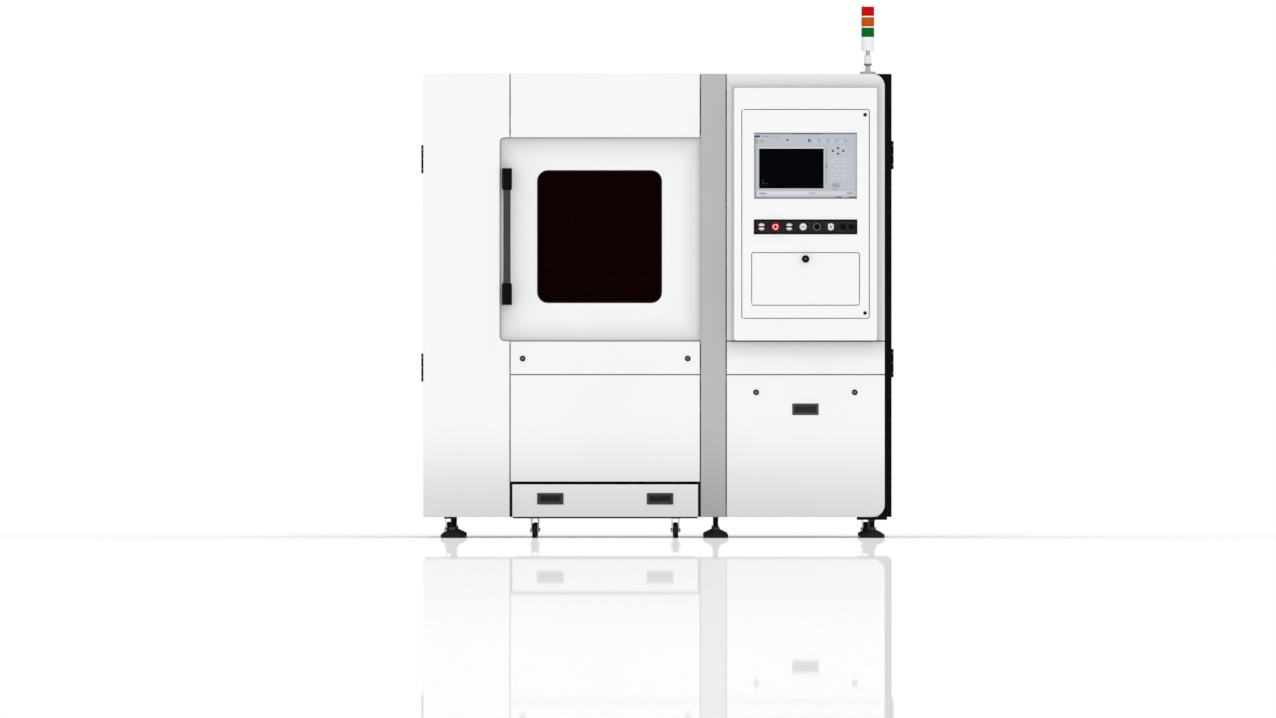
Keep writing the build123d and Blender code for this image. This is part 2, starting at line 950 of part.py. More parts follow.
def cart_bin():
    x0 = x_bay + cart_gap
    x1 = x_column - cart_gap
    front = tray(area(x0, x1, z_bottom, z_cart - cart_gap), y_front, panel_depth)
    for x, z in cart_pull_places():
        front -= pull_hole(x, z)
    x0 += bin_side_gap
    x1 -= bin_side_gap
    z0 = bin_base()
    z1 = z0 + bin_height
    y1 = y_beam + bin_length
    shell = span(x0, x1, y_beam, y1, z0, z1)
    shell -= span(x0 + sheet, x1 - sheet, y_beam + sheet, y1 - sheet, z0 + sheet, z1 + cut_overrun)
    strip = span(x0, x1, y_front + sheet, y_beam, z1 - sheet, z1)
    return front + strip + shell


def cart_pulls():
    return Compound(children=[recessed_pull(x, z) for x, z in cart_pull_places()])


# Side doors on their hinges
def side_face(side):
    return x_left if side < 0 else x_right


def ordered(a, b):
    return (min(a, b), max(a, b))


def hinge_half(side, z_mid, way):
    """One hinge leaf with its half of the knuckle: way -1 is the fixed base, 1 is the leaf on the door."""
    x_face = side_face(side)
    x_axis = x_face + side * knuckle_radius
    half = hinge_height / 2
    clear = knuckle_radius + knuckle_gap
    x_span = ordered(x_face, x_face + side * hinge_leaf_thickness)
    y_leaf = ordered(y_side_seam + way * clear, y_side_seam + way * (clear + hinge_leaf_width))
    leaf = span(*x_span, *y_leaf, z_mid - half, z_mid + half)
    z_knuckle = (z_mid - half, z_mid - knuckle_gap) if way > 0 else (z_mid, z_mid + half)
    leaf += span(*x_span, *ordered(y_side_seam, y_side_seam + way * clear), *z_knuckle)
    leaf += post(x_axis, y_side_seam, knuckle_radius, *z_knuckle)
    if way > 0:
        bore = hinge_pin_radius + hinge_pin_clearance
        leaf -= post(x_axis, y_side_seam, bore, z_mid - half - cut_overrun, z_mid)
    else:
        leaf += post(x_axis, y_side_seam, hinge_pin_radius, z_mid - half, z_mid)
    return leaf


def hinge_middles(side):
    heights = left_hinge_heights if side < 0 else right_hinge_heights
    return [z_bottom + rise for rise in heights]


def side_hinge_bases():
    bases = [hinge_half(side, z, -1) for side in (-1, 1) for z in hinge_middles(side)]
    return Compound(children=bases)


def hinge_leaves(side):
    return Compound(children=[hinge_half(side, z, 1) for z in hinge_middles(side)])


def side_door(side):
    """Folded side door between the front and rear returns, open at its back."""
    x_face = side_face(side)
    gap = side_door_gap
    y0 = y_front + side_return + gap
    y1 = y_rear - side_return - gap
    z0 = z_bottom + gap
    z1 = z_top - gap
    door = span(*ordered(x_face, x_face - side * panel_depth), y0, y1, z0, z1)
    edges = door.edges().group_by(Axis.X)[0 if side < 0 else -1]
    door = chamfer(edges, edge_bevel)
    inner = span(*ordered(x_face - side * sheet, x_face - side * (panel_depth + cut_overrun)),
                 y0 + sheet, y1 - sheet, z0 + sheet, z1 - sheet)
    return door - inner


def right_side_door():
    """Side door of the cabinet, with cooling slots low down."""
    door = side_door(1)
    y_mid = (y_front + y_rear) / 2
    for i in range(louvre_count):
        z = z_bottom + louvre_rise + i * louvre_pitch
        door -= span(x_right - panel_depth, x_right + cut_overrun, y_mid - louvre_length / 2,
                     y_mid + louvre_length / 2, z, z + louvre_width)
    return door


# Chamber and cabinet walls
def collar_place():
    return (x_post_left + tube + x_post_mid) / 2, z_bottom + collar_rise


def chamber_shell():
    """Roof, rear wall folded round the left corner with its hose collar, and the wall to the cabinet."""
    roof = span(x_left, x_partition, y_beam, y_rear - sheet, z_roof, z_top)
    wall = span(x_left, x_partition, y_rear - sheet, y_rear, z_bottom, z_top)
    x, z = collar_place()
    wall -= disc(x, z, collar_radius - collar_wall, y_rear - sheet - cut_overrun, 2 * cut_overrun)
    y_fold = y_rear - side_return
    wall += span(x_left, x_left + sheet, y_fold, y_rear - sheet, z_bottom, z_roof)
    wall += span(x_left + sheet, x_post_left, y_rear_beam, y_rear_beam + sheet, z_bottom, z_roof)
    partition = span(x_partition, x_partition + sheet, y_post, y_rear - sheet, z_bottom, z_roof)
    return Compound(children=[roof, wall, partition, exhaust_collar()])


def exhaust_collar():
    x, z = collar_place()
    ring = disc(x, z, collar_radius, y_rear, collar_length)
    bore = disc(x, z, collar_radius - collar_wall, y_rear - cut_overrun, collar_length + 2 * cut_overrun)
    return ring - bore


def cabinet_shell():
    """Roof, rear wall folded round the right corner, front corner angle and floor of the cabinet."""
    roof = span(x_partition, x_right, y_beam, y_rear - sheet, z_roof, z_top)
    wall = span(x_partition, x_right, y_rear - sheet, y_rear, z_bottom, z_top)
    y_fold = y_rear - side_return
    x_end = x_post_right + tube
    wall += span(x_right - sheet, x_right, y_fold, y_rear - sheet, z_bottom, z_roof)
    wall += span(x_end, x_right - sheet, y_rear_beam, y_rear_beam + sheet, z_bottom, z_roof)
    corner = span(x_beam_end, x_right, y_beam, y_beam + sheet, z_bottom, z_roof)
    corner += span(x_right - sheet, x_right, y_beam, y_front + side_return, z_bottom, z_roof)
    y_corner = y_front + side_return - sheet
    corner += span(x_end, x_right - sheet, y_corner, y_corner + sheet, z_bottom, z_roof)
    z_floor = z_bottom + tube
    floor = span(x_partition + sheet, x_post_right, y_cross, y_rear_beam, z_floor, z_floor + floor_sheet)
    return Compound(children=[roof, wall, corner, floor])


# Machine bed, table and chute
def bed_base():
    return z_bay - bed_drop - bed_height


def bed_edges():
    return (x_post_left + tube + bed_clearance, x_post_mid - bed_clearance,
            y_post + bed_front_gap, y_rear - sheet - bed_clearance)


def bed_well():
    x0, x1, y0, y1 = bed_edges()
    return x0 + bed_side_width, x1 - bed_side_width, y0 + bed_cross_width, y1 - bed_cross_width


def machine_bed():
    """Ring-shaped bed with a guide rail along each side."""
    z0 = bed_base()
    ring = span(*bed_edges(), z0, z0 + bed_height)
    ring -= span(*bed_well(), z0 - cut_overrun, z0 + bed_height + cut_overrun)
    return Compound(children=[ring] + [y_rail(x) for x in y_rail_lines()])


def y_rail_lines():
    x0, x1, y0, y1 = bed_edges()
    half = bed_side_width / 2
    return x0 + half, x1 - half


def y_rail(x, grow=0):
    x0, x1, y0, y1 = bed_edges()
    half = y_rail_width / 2 + grow
    z0 = z_bay - bed_drop
    return span(x - half, x + half, y0 + y_rail_end_gap, y1 - y_rail_end_gap, z0, z0 + y_rail_height + grow)


def slat(x0, x1, y, z0):
    """One crown-toothed slat."""
    z1 = z0 + slat_height
    points = [(x0, z0), (x1, z0)]
    pitch = (x1 - x0) / slat_teeth
    for i in range(slat_teeth):
        points.append((x1 - i * pitch, z1 - slat_tooth_depth))
        points.append((x1 - (i + 1 / 2) * pitch, z1))
    points.append((x0, z1 - slat_tooth_depth))
    return back(make_face(Polyline(*points, close=True)), y, slat_thickness)


def slat_table():
    """Two ledge bars across the bed well, with slats standing on them."""
    x0, x1, y0, y1 = bed_well()
    z0 = z_bay - bed_drop
    pieces = []
    for x, side in ((x0, 1), (x1, -1)):
        wall = span(*ordered(x, x + side * table_bar_sheet), y0 - table_bar_lap, y1 + table_bar_lap,
                    z0, z0 + slat_height)
        ledge = span(*ordered(x + side * table_bar_sheet, x + side * table_ledge_width),
                     y0 - table_bar_lap, y1 + table_bar_lap, z0, z0 + table_bar_sheet)
        pieces.append(wall + ledge)
    pitch = (y1 - y0) / slat_count
    end = table_bar_sheet + slat_end_gap
    for i in range(slat_count):
        y = y0 + (i + 1 / 2) * pitch - slat_thickness / 2
        pieces.append(slat(x0 + end, x1 - end, y, z0 + table_bar_sheet))
    return Compound(children=pieces)


def scrap_chute():
    """Funnel that hangs in the bed well and opens over the cart."""
    x0, x1, y0, y1 = bed_well()
    z_rim = bed_base() + chute_rim
    z_fold = bed_base()
    z_mouth = bin_base() + bin_height + chute_mouth_gap
    x_mid = (x_bay + x_column) / 2
    y_mid = (y0 + y1) / 2

    z_low = z_mouth - cut_overrun
    z_high = z_rim + cut_overrun

    def profile(plane, low, high, mouth_mid, mouth_width, width):
        """One side view of the funnel as a prism along the plane's normal."""
        half = mouth_width / 2
        outline = Polyline((mouth_mid - half, z_low), (mouth_mid - half, z_mouth), (low, z_fold),
                           (low, z_high), (high, z_high), (high, z_fold), (mouth_mid + half, z_mouth),
                           (mouth_mid + half, z_low), close=True)
        return extrude(plane * make_face(outline), amount=width, both=True)

    def funnel(inset):
        along_y = Plane(origin=(0, y_mid, 0), x_dir=(1, 0, 0), z_dir=(0, -1, 0))
        along_x = Plane(origin=(x_mid, 0, 0), x_dir=(0, 1, 0), z_dir=(1, 0, 0))
        side = profile(along_y, x0 + inset, x1 - inset, x_mid, chute_mouth_width - 2 * inset, y1 - y0)
        front = profile(along_x, y0 + inset, y1 - inset, y_mid, chute_mouth_length - 2 * inset, x1 - x0)
        return side & front

    return (funnel(0) & span(x0, x1, y0, y1, z_mouth, z_rim)) - funnel(chute_sheet)


# Gantry, carriage and head
def gantry_edges():
    """Ends, front, back, bottom and top of the beam, parked at the back of its rails."""
    x0, x1, y0, y1 = bed_edges()
    left, right = y_rail_lines()
    y_leg = y1 - gantry_parked_gap - leg_depth
    y_beam_front = y_leg + (leg_depth - gantry_depth) / 2
    z0 = z_bay - bed_drop + slat_height + gantry_rise
    return (left - leg_width / 2, right + leg_width / 2, y_beam_front, y_beam_front + gantry_depth,
            z0, z0 + gantry_height)


def x_rail(z, grow=0):
    x0, x1, y0, y1, z0, z1 = gantry_edges()
    half = x_rail_width / 2 + grow
    return span(x0 + x_rail_end_gap, x1 - x_rail_end_gap, y0 - x_rail_depth - grow, y0, z - half, z + half)


def x_rail_lines():
    x0, x1, y0, y1, z0, z1 = gantry_edges()
    return z0 + x_rail_inset, z1 - x_rail_inset


def gantry_beam():
    """Beam on two legs with runners on the bed rails, and the two carriage rails on its front."""
    x0, x1, y0, y1, z0, z1 = gantry_edges()
    beam = span(x0, x1, y0, y1, z0, z1)
    z_rail = z_bay - bed_drop
    z_leg = z_rail + runner_lift + runner_height
    y_mid = (y0 + y1) / 2
    for x in y_rail_lines():
        leg = Polyline((y_mid - leg_depth / 2, z_leg), (y_mid + leg_depth / 2, z_leg),
                       (y1, z0), (y0, z0), close=True)
        facing = Plane(origin=(x, 0, 0), x_dir=(0, 1, 0), z_dir=(1, 0, 0))
        beam += extrude(facing * make_face(leg), amount=leg_width / 2, both=True)
        for way in (-1, 1):
            y_runner = y_mid + way * (leg_depth - runner_length) / 2
            beam += span(x - runner_width / 2, x + runner_width / 2, y_runner - runner_length / 2,
                         y_runner + runner_length / 2, z_rail + runner_lift, z_leg)
        beam -= y_rail(x, slide_clearance)
    return Compound(children=[beam] + [x_rail(z) for z in x_rail_lines()])


def carriage_middle():
    x0, x1, y0, y1, z0, z1 = gantry_edges()
    return (x0 + x1) / 2


def carriage_front():
    x0, x1, y0, y1, z0, z1 = gantry_edges()
    return y0 - carriage_runner_gap - carriage_runner_depth - carriage_plate


def z_box_bottom():
    x0, x1, y0, y1, z0, z1 = gantry_edges()
    return (z0 + z1) / 2 - carriage_height / 2


def x_carriage():
    """Carriage plate with four runners, and the upright drive box that carries the head."""
    x0, x1, y0, y1, z0, z1 = gantry_edges()
    x = carriage_middle()
    half = carriage_width / 2
    y_plate = carriage_front()
    z_low = z_box_bottom()
    body = span(x - half, x + half, y_plate, y_plate + carriage_plate, z_low, z_low + carriage_height)
    y_runner = y_plate + carriage_plate
    for z in x_rail_lines():
        for way in (-1, 1):
            x_runner = x + way * (carriage_width - runner_width) / 2
            body += span(x_runner - runner_width / 2, x_runner + runner_width / 2, y_runner,
                         y0 - carriage_runner_gap, z - runner_height / 2, z + runner_height / 2)
        body -= x_rail(z, slide_clearance)
    half_box = z_box_width / 2
    z_box_top = z_low + z_box_height
    body += span(x - half_box, x + half_box, y_plate - z_box_depth, y_plate, z_low, z_box_top)
    half_motor = z_motor_width / 2
    y_motor = y_plate - z_box_depth / 2
    motor = span(x - half_motor, x + half_motor, y_motor - half_motor, y_motor + half_motor,
                 z_box_top, z_box_top + z_motor_height)
    return body + motor


def nozzle_tip():
    return z_bay - bed_drop + slat_height + nozzle_rest_gap


def cutting_head():
    """Head on a plate that runs down the front of the drive box between two gibs."""
    x = carriage_middle()
    y_face = carriage_front() - z_box_depth
    half = z_box_width / 2 + slide_clearance
    outer = half + z_plate_thickness
    z0 = z_box_bottom() + z_plate_rise
    y_plate = y_face - slide_clearance - z_plate_thickness
    plate = span(x - outer, x + outer, y_plate, y_face + z_gib_depth, z0, z0 + z_plate_height)
    plate -= span(x - half, x + half, y_face - slide_clearance, y_face + z_gib_depth + cut_overrun,
                  z0 - cut_overrun, z0 + z_plate_height + cut_overrun)
    y_head = y_plate - head_reach
    arm = span(x - head_arm_width / 2, x + head_arm_width / 2, y_head, y_plate,
               z0 + (z_plate_height - head_arm_height) / 2, z0 + (z_plate_height + head_arm_height) / 2)
    return plate + arm + turned(x, y_head, head_profile())


def head_profile():
    """Half section of the head from the nozzle tip up to the fibre connector."""
    z = nozzle_tip()
    points = [(0, z), (nozzle_tip_radius, z)]
    z += nozzle_height
    points += [(nozzle_radius, z), (sensor_radius, z)]
    z += sensor_height
    points += [(sensor_radius, z), (head_radius, z)]
    z += head_height
    points += [(head_radius, z), (collimator_radius, z)]
    z += collimator_height
    points += [(collimator_radius, z), (connector_radius, z)]
    z += connector_height
    return points + [(connector_radius, z), (0, z)]


# Cabinet contents
def laser_source():
    """Rack-cased source on the cabinet floor, its front plate towards the lift-off panel."""
    z0 = z_bottom + tube + floor_sheet
    x_mid = (x_partition + x_post_right) / 2
    half = source_width / 2
    y0 = y_front + source_setback
    z1 = z0 + source_height
    case = span(x_mid - half, x_mid + half, y0 + source_front_plate, y0 + source_depth, z0, z1)
    wide = half + source_front_rim
    case += span(x_mid - wide, x_mid + wide, y0, y0 + source_front_plate, z0, z1)
    z_mid = (z0 + z1) / 2
    span_half = source_handle_height / 2
    for side in (-1, 1):
        x = x_mid + side * (half - source_handle_inset)
        bar = source_handle_radius
        y_bar = y0 - source_handle_reach
        case += span(x - bar, x + bar, y_bar, y_bar + 2 * bar, z_mid - span_half, z_mid + span_half)
        for z in (z_mid - span_half, z_mid + span_half - 2 * bar):
            case += span(x - bar, x + bar, y_bar, y0, z, z + 2 * bar)
    return case


def electrics_plate():
    """Mounting plate on stand-offs beside the partition, with drives, supply and terminal row."""
    x_wall = x_partition + sheet
    x0 = x_wall + electrics_standoff
    x1 = x0 + electrics_sheet
    y0 = y_front + electrics_setback
    y1 = y0 + electrics_width
    z0 = z_bottom + electrics_rise
    z1 = z0 + electrics_height
    pieces = [span(x0, x1, y0, y1, z0, z1)]
    for y in (y0 + standoff_inset, y1 - standoff_inset):
        for z in (z0 + standoff_inset, z1 - standoff_inset):
            half = standoff_width / 2
            pieces.append(span(x_wall, x0, y - half, y + half, z - half, z + half))
    z_drive = z1 - terminal_margin - drive_height
    for i in range(drive_count):
        y = y0 + terminal_margin + i * drive_pitch
        pieces.append(span(x1, x1 + drive_depth, y, y + drive_width, z_drive, z_drive + drive_height))
    z_supply = z_drive - terminal_margin - supply_height
    y_supply = y0 + terminal_margin
    pieces.append(span(x1, x1 + supply_depth, y_supply, y_supply + supply_width,
                       z_supply, z_supply + supply_height))
    pieces.append(span(x1, x1 + terminal_depth, y0 + terminal_margin, y1 - terminal_margin,
                       z0 + terminal_margin, z0 + terminal_margin + terminal_height))
    return Compound(children=pieces)


# Signal tower
def tower_axis():
    return x_right - tower_inset, y_front + tower_setback


def tower_heights():
    """Heights where the base, each lens and each ring begin, and where the top lens ends."""
    z = z_top + flange_height + tower_stem_height + tower_collar_height + tower_neck_height
    heights = [z]
    z += tower_base_height
    for _ in range(3):
        heights.append(z)
        z += lens_height
        heights.append(z)
        z += tower_ring_height
    return heights


def tower_stand():
    """Flanged stem with the base module, the rings between the lenses and the cap."""
    x, y = tower_axis()
    z_base, z_green, z_ring, _, z_ring_two, _, z_cap = tower_heights()
    z_neck = z_top + flange_height
    z_collar = z_neck + tower_stem_height
    z_stem = z_collar + tower_collar_height
    stem = turned(x, y, (
        (0, z_top), (flange_radius, z_top), (flange_radius, z_neck), (tower_stem_radius, z_neck),
        (tower_neck_radius, z_collar), (tower_collar_radius, z_collar), (tower_collar_radius, z_stem),
        (tower_neck_radius, z_stem), (tower_neck_radius, z_base), (tower_radius, z_base),
        (tower_radius, z_green), (0, z_green)))
    rings = [post(x, y, tower_ring_radius, z, z + tower_ring_height) for z in (z_ring, z_ring_two)]
    cap = post(x, y, tower_radius, z_cap, z_cap + tower_cap_height)
    return Compound(children=[stem] + rings + [cap])


def tower_lens(index):
    """One lens, counted from the bottom."""
    x, y = tower_axis()
    z = tower_heights()[1 + 2 * index]
    return post(x, y, tower_radius, z, z + lens_height)


pieces = {
    "welded_frame": welded_frame(),
    "levelling_feet": levelling_feet(),
    "transport_caster_forks": transport_caster_forks(),
    "left_front_panel": left_front_panel(),
    "upper_front_panel": upper_front_panel(),
    "lower_front_panel": lower_front_panel(),
    "grey_column": grey_column(),
    "right_fascia": right_fascia(),
    "fascia_strip": fascia_strip(),
    "control_box": control_box(),
    "chamber_shell": chamber_shell(),
    "cabinet_shell": cabinet_shell(),
    "side_hinge_bases": side_hinge_bases(),
    "door_rails": door_rails(),
    "machine_bed": machine_bed(),
    "slat_table": slat_table(),
    "scrap_chute": scrap_chute(),
    "laser_source": laser_source(),
    "electrics_plate": electrics_plate(),
    "tower_stand": tower_stand(),
    "tower_lens_green": tower_lens(0),
    "tower_lens_amber": tower_lens(1),
    "tower_lens_red": tower_lens(2),
    "door_leaf": door_leaf(),
    "door_window": door_window(),
    "door_handle_mounts": door_handle_mounts(),
    "door_handle_grip": door_handle_grip(),
    "cart_bin": cart_bin(),
    "cart_pulls": cart_pulls(),
    "cart_caster_forks": cart_caster_forks(),
    "control_panel": control_panel(),
    "monitor": monitor(),
    "button_plate": button_plate(),
    "red_button": push_button("red_button"),
    "stop_button": stop_button(),
    "green_button": push_button("green_button"),
    "white_button": push_button("white_button"),
    "selector_knob": selector_knob(),
    "key_switch": key_switch(),
    "keyboard_flap": keyboard_flap(),
    "flap_knob": flap_knob(),
    "keyboard": keyboard(),
    "bed_strip_panel": bed_strip_panel(),
    "cabinet_front_panel": cabinet_front_panel(),
    "cabinet_pull": recessed_pull(*cabinet_pull_place()),
    "left_side_door": Compound(children=[side_door(-1), hinge_leaves(-1)]),
    "right_side_door": Compound(children=[right_side_door(), hinge_leaves(1)]),
    "gantry_beam": gantry_beam(),
    "x_carriage": x_carriage(),
    "cutting_head": cutting_head(),
}
for side, place in strip_lock_places().items():
    pieces[f"strip_lock_{side}"] = cam_lock(*place)
for side, place in cabinet_lock_places().items():
    pieces[f"cabinet_lock_{side}"] = cam_lock(*place)
for corner, place in cart_caster_places().items():
    pieces[f"cart_wheel_{corner}"] = caster_wheel(*place, wheel_radius)
for side, place in transport_caster_places().items():
    pieces[f"transport_wheel_{side}"] = caster_wheel(*place, wheel_radius + transport_lift)

os.makedirs("parts", exist_ok=True)
for name, shape in pieces.items():
    export_step(shape, f"parts/{name}.step")
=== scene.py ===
"""Looks of an enclosed sheet-metal laser cutter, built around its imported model."""

import json
import math

import bmesh
import bpy
import numpy as np
from bpy.props import FloatProperty, FloatVectorProperty, IntProperty, PointerProperty
from bpy.types import Operator, Panel, PropertyGroup
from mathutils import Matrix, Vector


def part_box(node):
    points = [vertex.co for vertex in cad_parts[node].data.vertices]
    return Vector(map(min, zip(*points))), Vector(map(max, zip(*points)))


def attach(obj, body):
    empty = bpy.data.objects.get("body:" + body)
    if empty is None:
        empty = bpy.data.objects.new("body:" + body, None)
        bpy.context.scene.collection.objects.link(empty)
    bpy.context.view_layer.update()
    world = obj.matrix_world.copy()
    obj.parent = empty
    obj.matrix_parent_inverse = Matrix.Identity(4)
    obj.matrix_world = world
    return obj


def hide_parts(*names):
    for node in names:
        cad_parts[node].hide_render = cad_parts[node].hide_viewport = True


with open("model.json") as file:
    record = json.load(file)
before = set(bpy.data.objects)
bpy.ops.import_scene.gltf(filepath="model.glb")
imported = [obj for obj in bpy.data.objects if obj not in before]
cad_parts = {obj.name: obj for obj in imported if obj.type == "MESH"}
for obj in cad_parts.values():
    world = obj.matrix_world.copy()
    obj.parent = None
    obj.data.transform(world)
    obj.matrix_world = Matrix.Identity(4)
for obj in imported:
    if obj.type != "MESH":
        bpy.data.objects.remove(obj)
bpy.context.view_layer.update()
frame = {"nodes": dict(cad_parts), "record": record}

bl_info = {
    "name": "Sheet Laser Cutter",
    "version": (1, 0, 0),
    "blender": (4, 5, 0),
    "location": "View3D > Sidebar > Cutter",
    "description": "Finishes, controls and fittings of an enclosed sheet-metal laser cutter",
    "category": "Add Mesh",
}

MM = 0.001
FRAME_BODY = "machine_frame"

# Painted shade round the control box and in the door bay: its depth in each, how far it reaches, and its
# strength at shares of that reach
BOX_PAINTED_SHADE, BAY_PAINTED_SHADE = 0.46, 0.25
PAINTED_SHADE_REACH = 80 * MM
PAINTED_SHADE_SHARES = ((0, 1), (0.14, 0.68), (0.28, 0.47), (0.6, 0.24), (1, 0))

# Corner radius of the door bay's left side, and half of the seam between two panels
BAY_RADIUS = 18 * MM
HALF_SEAM = 2 * MM

# Light of the push buttons' colours against the lenses'
DEEP_RED_SHARE, DEEP_GREEN_SHARE = 0.3, 0.4

# Printed ring of the stop button: its radius and half width, and its arcs as waves round the angle
STOP_RING_RADIUS, STOP_RING_HALF = 8.9 * MM, 1.7 * MM
RING_ARCS, RING_TURN, RING_CREST = 3.0, 2.2, 0.86

# Range in which nearly all of a noise lies, and the sockets of a mix node in its colour mode
NOISE_LOW, NOISE_HIGH = 0.3, 0.7
MIX_FACTOR, MIX_FIRST, MIX_SECOND, MIX_RESULT = 0, 6, 7, 2

# Screw head and hexagon nut, as (along, radius) shares of their height and radius
SCREW_SHARES = ((0, 0), (0, 1), (0.45, 1), (0.85, 0.8), (1, 0.5625), (1, 0.45), (0.4, 0.45), (0.4, 0))
NUT_SHARES = ((0, 0), (0, 0.94), (0.12, 1), (0.88, 1), (1, 0.94), (1, 0))
SCREW_HEIGHT_SHARE = 0.55

# Welding of a piece's points, and the corners that its bevel takes
WELD_DISTANCE, THIN_DISTANCE = 1e-7, 1e-8
BEVEL_STEPS, BEVEL_ANGLE = 2, math.radians(40)

# Right-handed directions for turned shapes: two across the axis, then the axis itself
AXES = {
    "x": ((0, 1, 0), (0, 0, 1), (1, 0, 0)),
    "-x": ((0, 0, 1), (0, 1, 0), (-1, 0, 0)),
    "y": ((0, 0, 1), (1, 0, 0), (0, 1, 0)),
    "-y": ((1, 0, 0), (0, 0, 1), (0, -1, 0)),
    "z": ((1, 0, 0), (0, 1, 0), (0, 0, 1)),
    "-z": ((0, 1, 0), (1, 0, 0), (0, 0, -1)),
}


def colour_property(name, default, description):
    """Setting for a colour."""
    return FloatVectorProperty(name=name, description=description, default=default, size=3, min=0, max=1,
                               subtype="COLOR")


def length_property(name, default_mm, description):
    """Setting for a length, with its default in millimetres."""
    return FloatProperty(name=name, description=description, default=default_mm * MM, min=0, unit="LENGTH")


class CutterFinishes(PropertyGroup):
    """Colours and surface grain of the machine."""

    white: colour_property("White coat", (0.80, 0.80, 0.80), "Powder coat of the front panels and the door")
    grey: colour_property("Grey coat", (0.42, 0.42, 0.42), "Powder coat of the upright column")
    black: colour_property("Black coat", (0.002, 0.002, 0.002), "Powder coat of the carcass and side doors")
    frame_coat: colour_property("Frame coat", (0.17, 0.18, 0.19), "Paint of the welded frame and the bed")
    pane: colour_property("Door pane", (0.055, 0.006, 0.005), "Tint of the dark filtering pane")
    moulding: colour_property("Black moulding", (0.002, 0.002, 0.002), "Handle mounts, knobs and locks")
    pull: colour_property("Pull moulding", (0.058, 0.058, 0.058), "Recessed pulls")
    grip: colour_property("Handle grip", (0.042, 0.042, 0.042), "Coated tube of the door handle")
    red: colour_property("Signal red", (0.50, 0.002, 0.005), "Stop button and top lens")
    amber: colour_property("Signal amber", (0.50, 0.075, 0.002), "Middle lens")
    green: colour_property("Signal green", (0.002, 0.125, 0.011), "Start button and bottom lens")
    pale: colour_property("Pale moulding", (0.80, 0.80, 0.80), "Signal tower body and white button")
    zinc: colour_property("Zinc plate", (0.60, 0.60, 0.59), "Caster forks, rails and small screws")
    steel: colour_property("Sheet steel", (0.36, 0.35, 0.34), "Slats and scrap chute")
    alloy: colour_property("Alloy", (0.56, 0.57, 0.58), "Gantry, carriage and head")
    rubber: colour_property("Rubber", (0.014, 0.014, 0.014), "Tyres, foot pads and gaskets")
    coat_grain: length_property("Coat grain", 1.3, "Width of one bump in the powder coat")
    coat_depth: length_property("Coat grain depth", 0.035, "Height of the bumps in the powder coat")


class CutterTrim(PropertyGroup):
    """Sizes of the small fittings."""

    bezel_radius: length_property("Button bezel radius", 14.6, "Outer radius of the ring round a button")
    bezel_height: length_property("Button bezel height", 3.2, "How far the ring stands off its plate")
    screw_radius: length_property("Screw head radius", 4.5, "Button-head screws of the panels")
    gasket_width: length_property("Gasket width", 5.0, "Rubber lip round the door pane")
    tyre_depth: length_property("Tyre depth", 9.0, "Rubber outside the wheel hub")
    thread_pitch: length_property("Foot thread pitch", 2.0, "Thread of the levelling studs")
    lens_flutes: IntProperty(name="Lens flutes", description="Upright flutes round each signal lens",
                             default=36, min=8, max=90)


class CutterStage(PropertyGroup):
    """Floor, light and camera."""

    floor: colour_property("Floor", (0.93, 0.93, 0.93), "Studio floor")
    sheen: FloatProperty(name="Floor sheen", description="Share of the floor's light that is mirrored",
                         default=0.3, min=0, max=1, subtype="FACTOR")
    distance: FloatProperty(name="Camera distance", description="From the front panels to the camera",
                            default=120, min=5, unit="LENGTH")
    view_width: FloatProperty(name="View width", description="Width of the picture at the front panels",
                              default=4.976, min=1, unit="LENGTH")
    view_side: FloatProperty(name="View centre across",
                             description="Middle of the picture from the machine's middle",
                             default=-0.076, unit="LENGTH")
    view_height: FloatProperty(name="View centre height", description="Middle of the picture above the floor",
                               default=0.698, unit="LENGTH")
    dome: FloatProperty(name="Dome light", description="Strength of the even light from all sides",
                        default=0.93, min=0)
    key: FloatProperty(name="Key light", description="Power of each soft box, at the front and at the back",
                       default=6, min=0, unit="POWER")
    lift: FloatProperty(name="Floor lift", description="White added to the floor where the camera sees it",
                        default=0.05, min=0, max=1, subtype="FACTOR")


def finishes():
    """Settings of the colours and of the grain."""
    return bpy.context.scene.cutter_finishes


def trim():
    """Settings of the small fittings."""
    return bpy.context.scene.cutter_trim


# Finishes


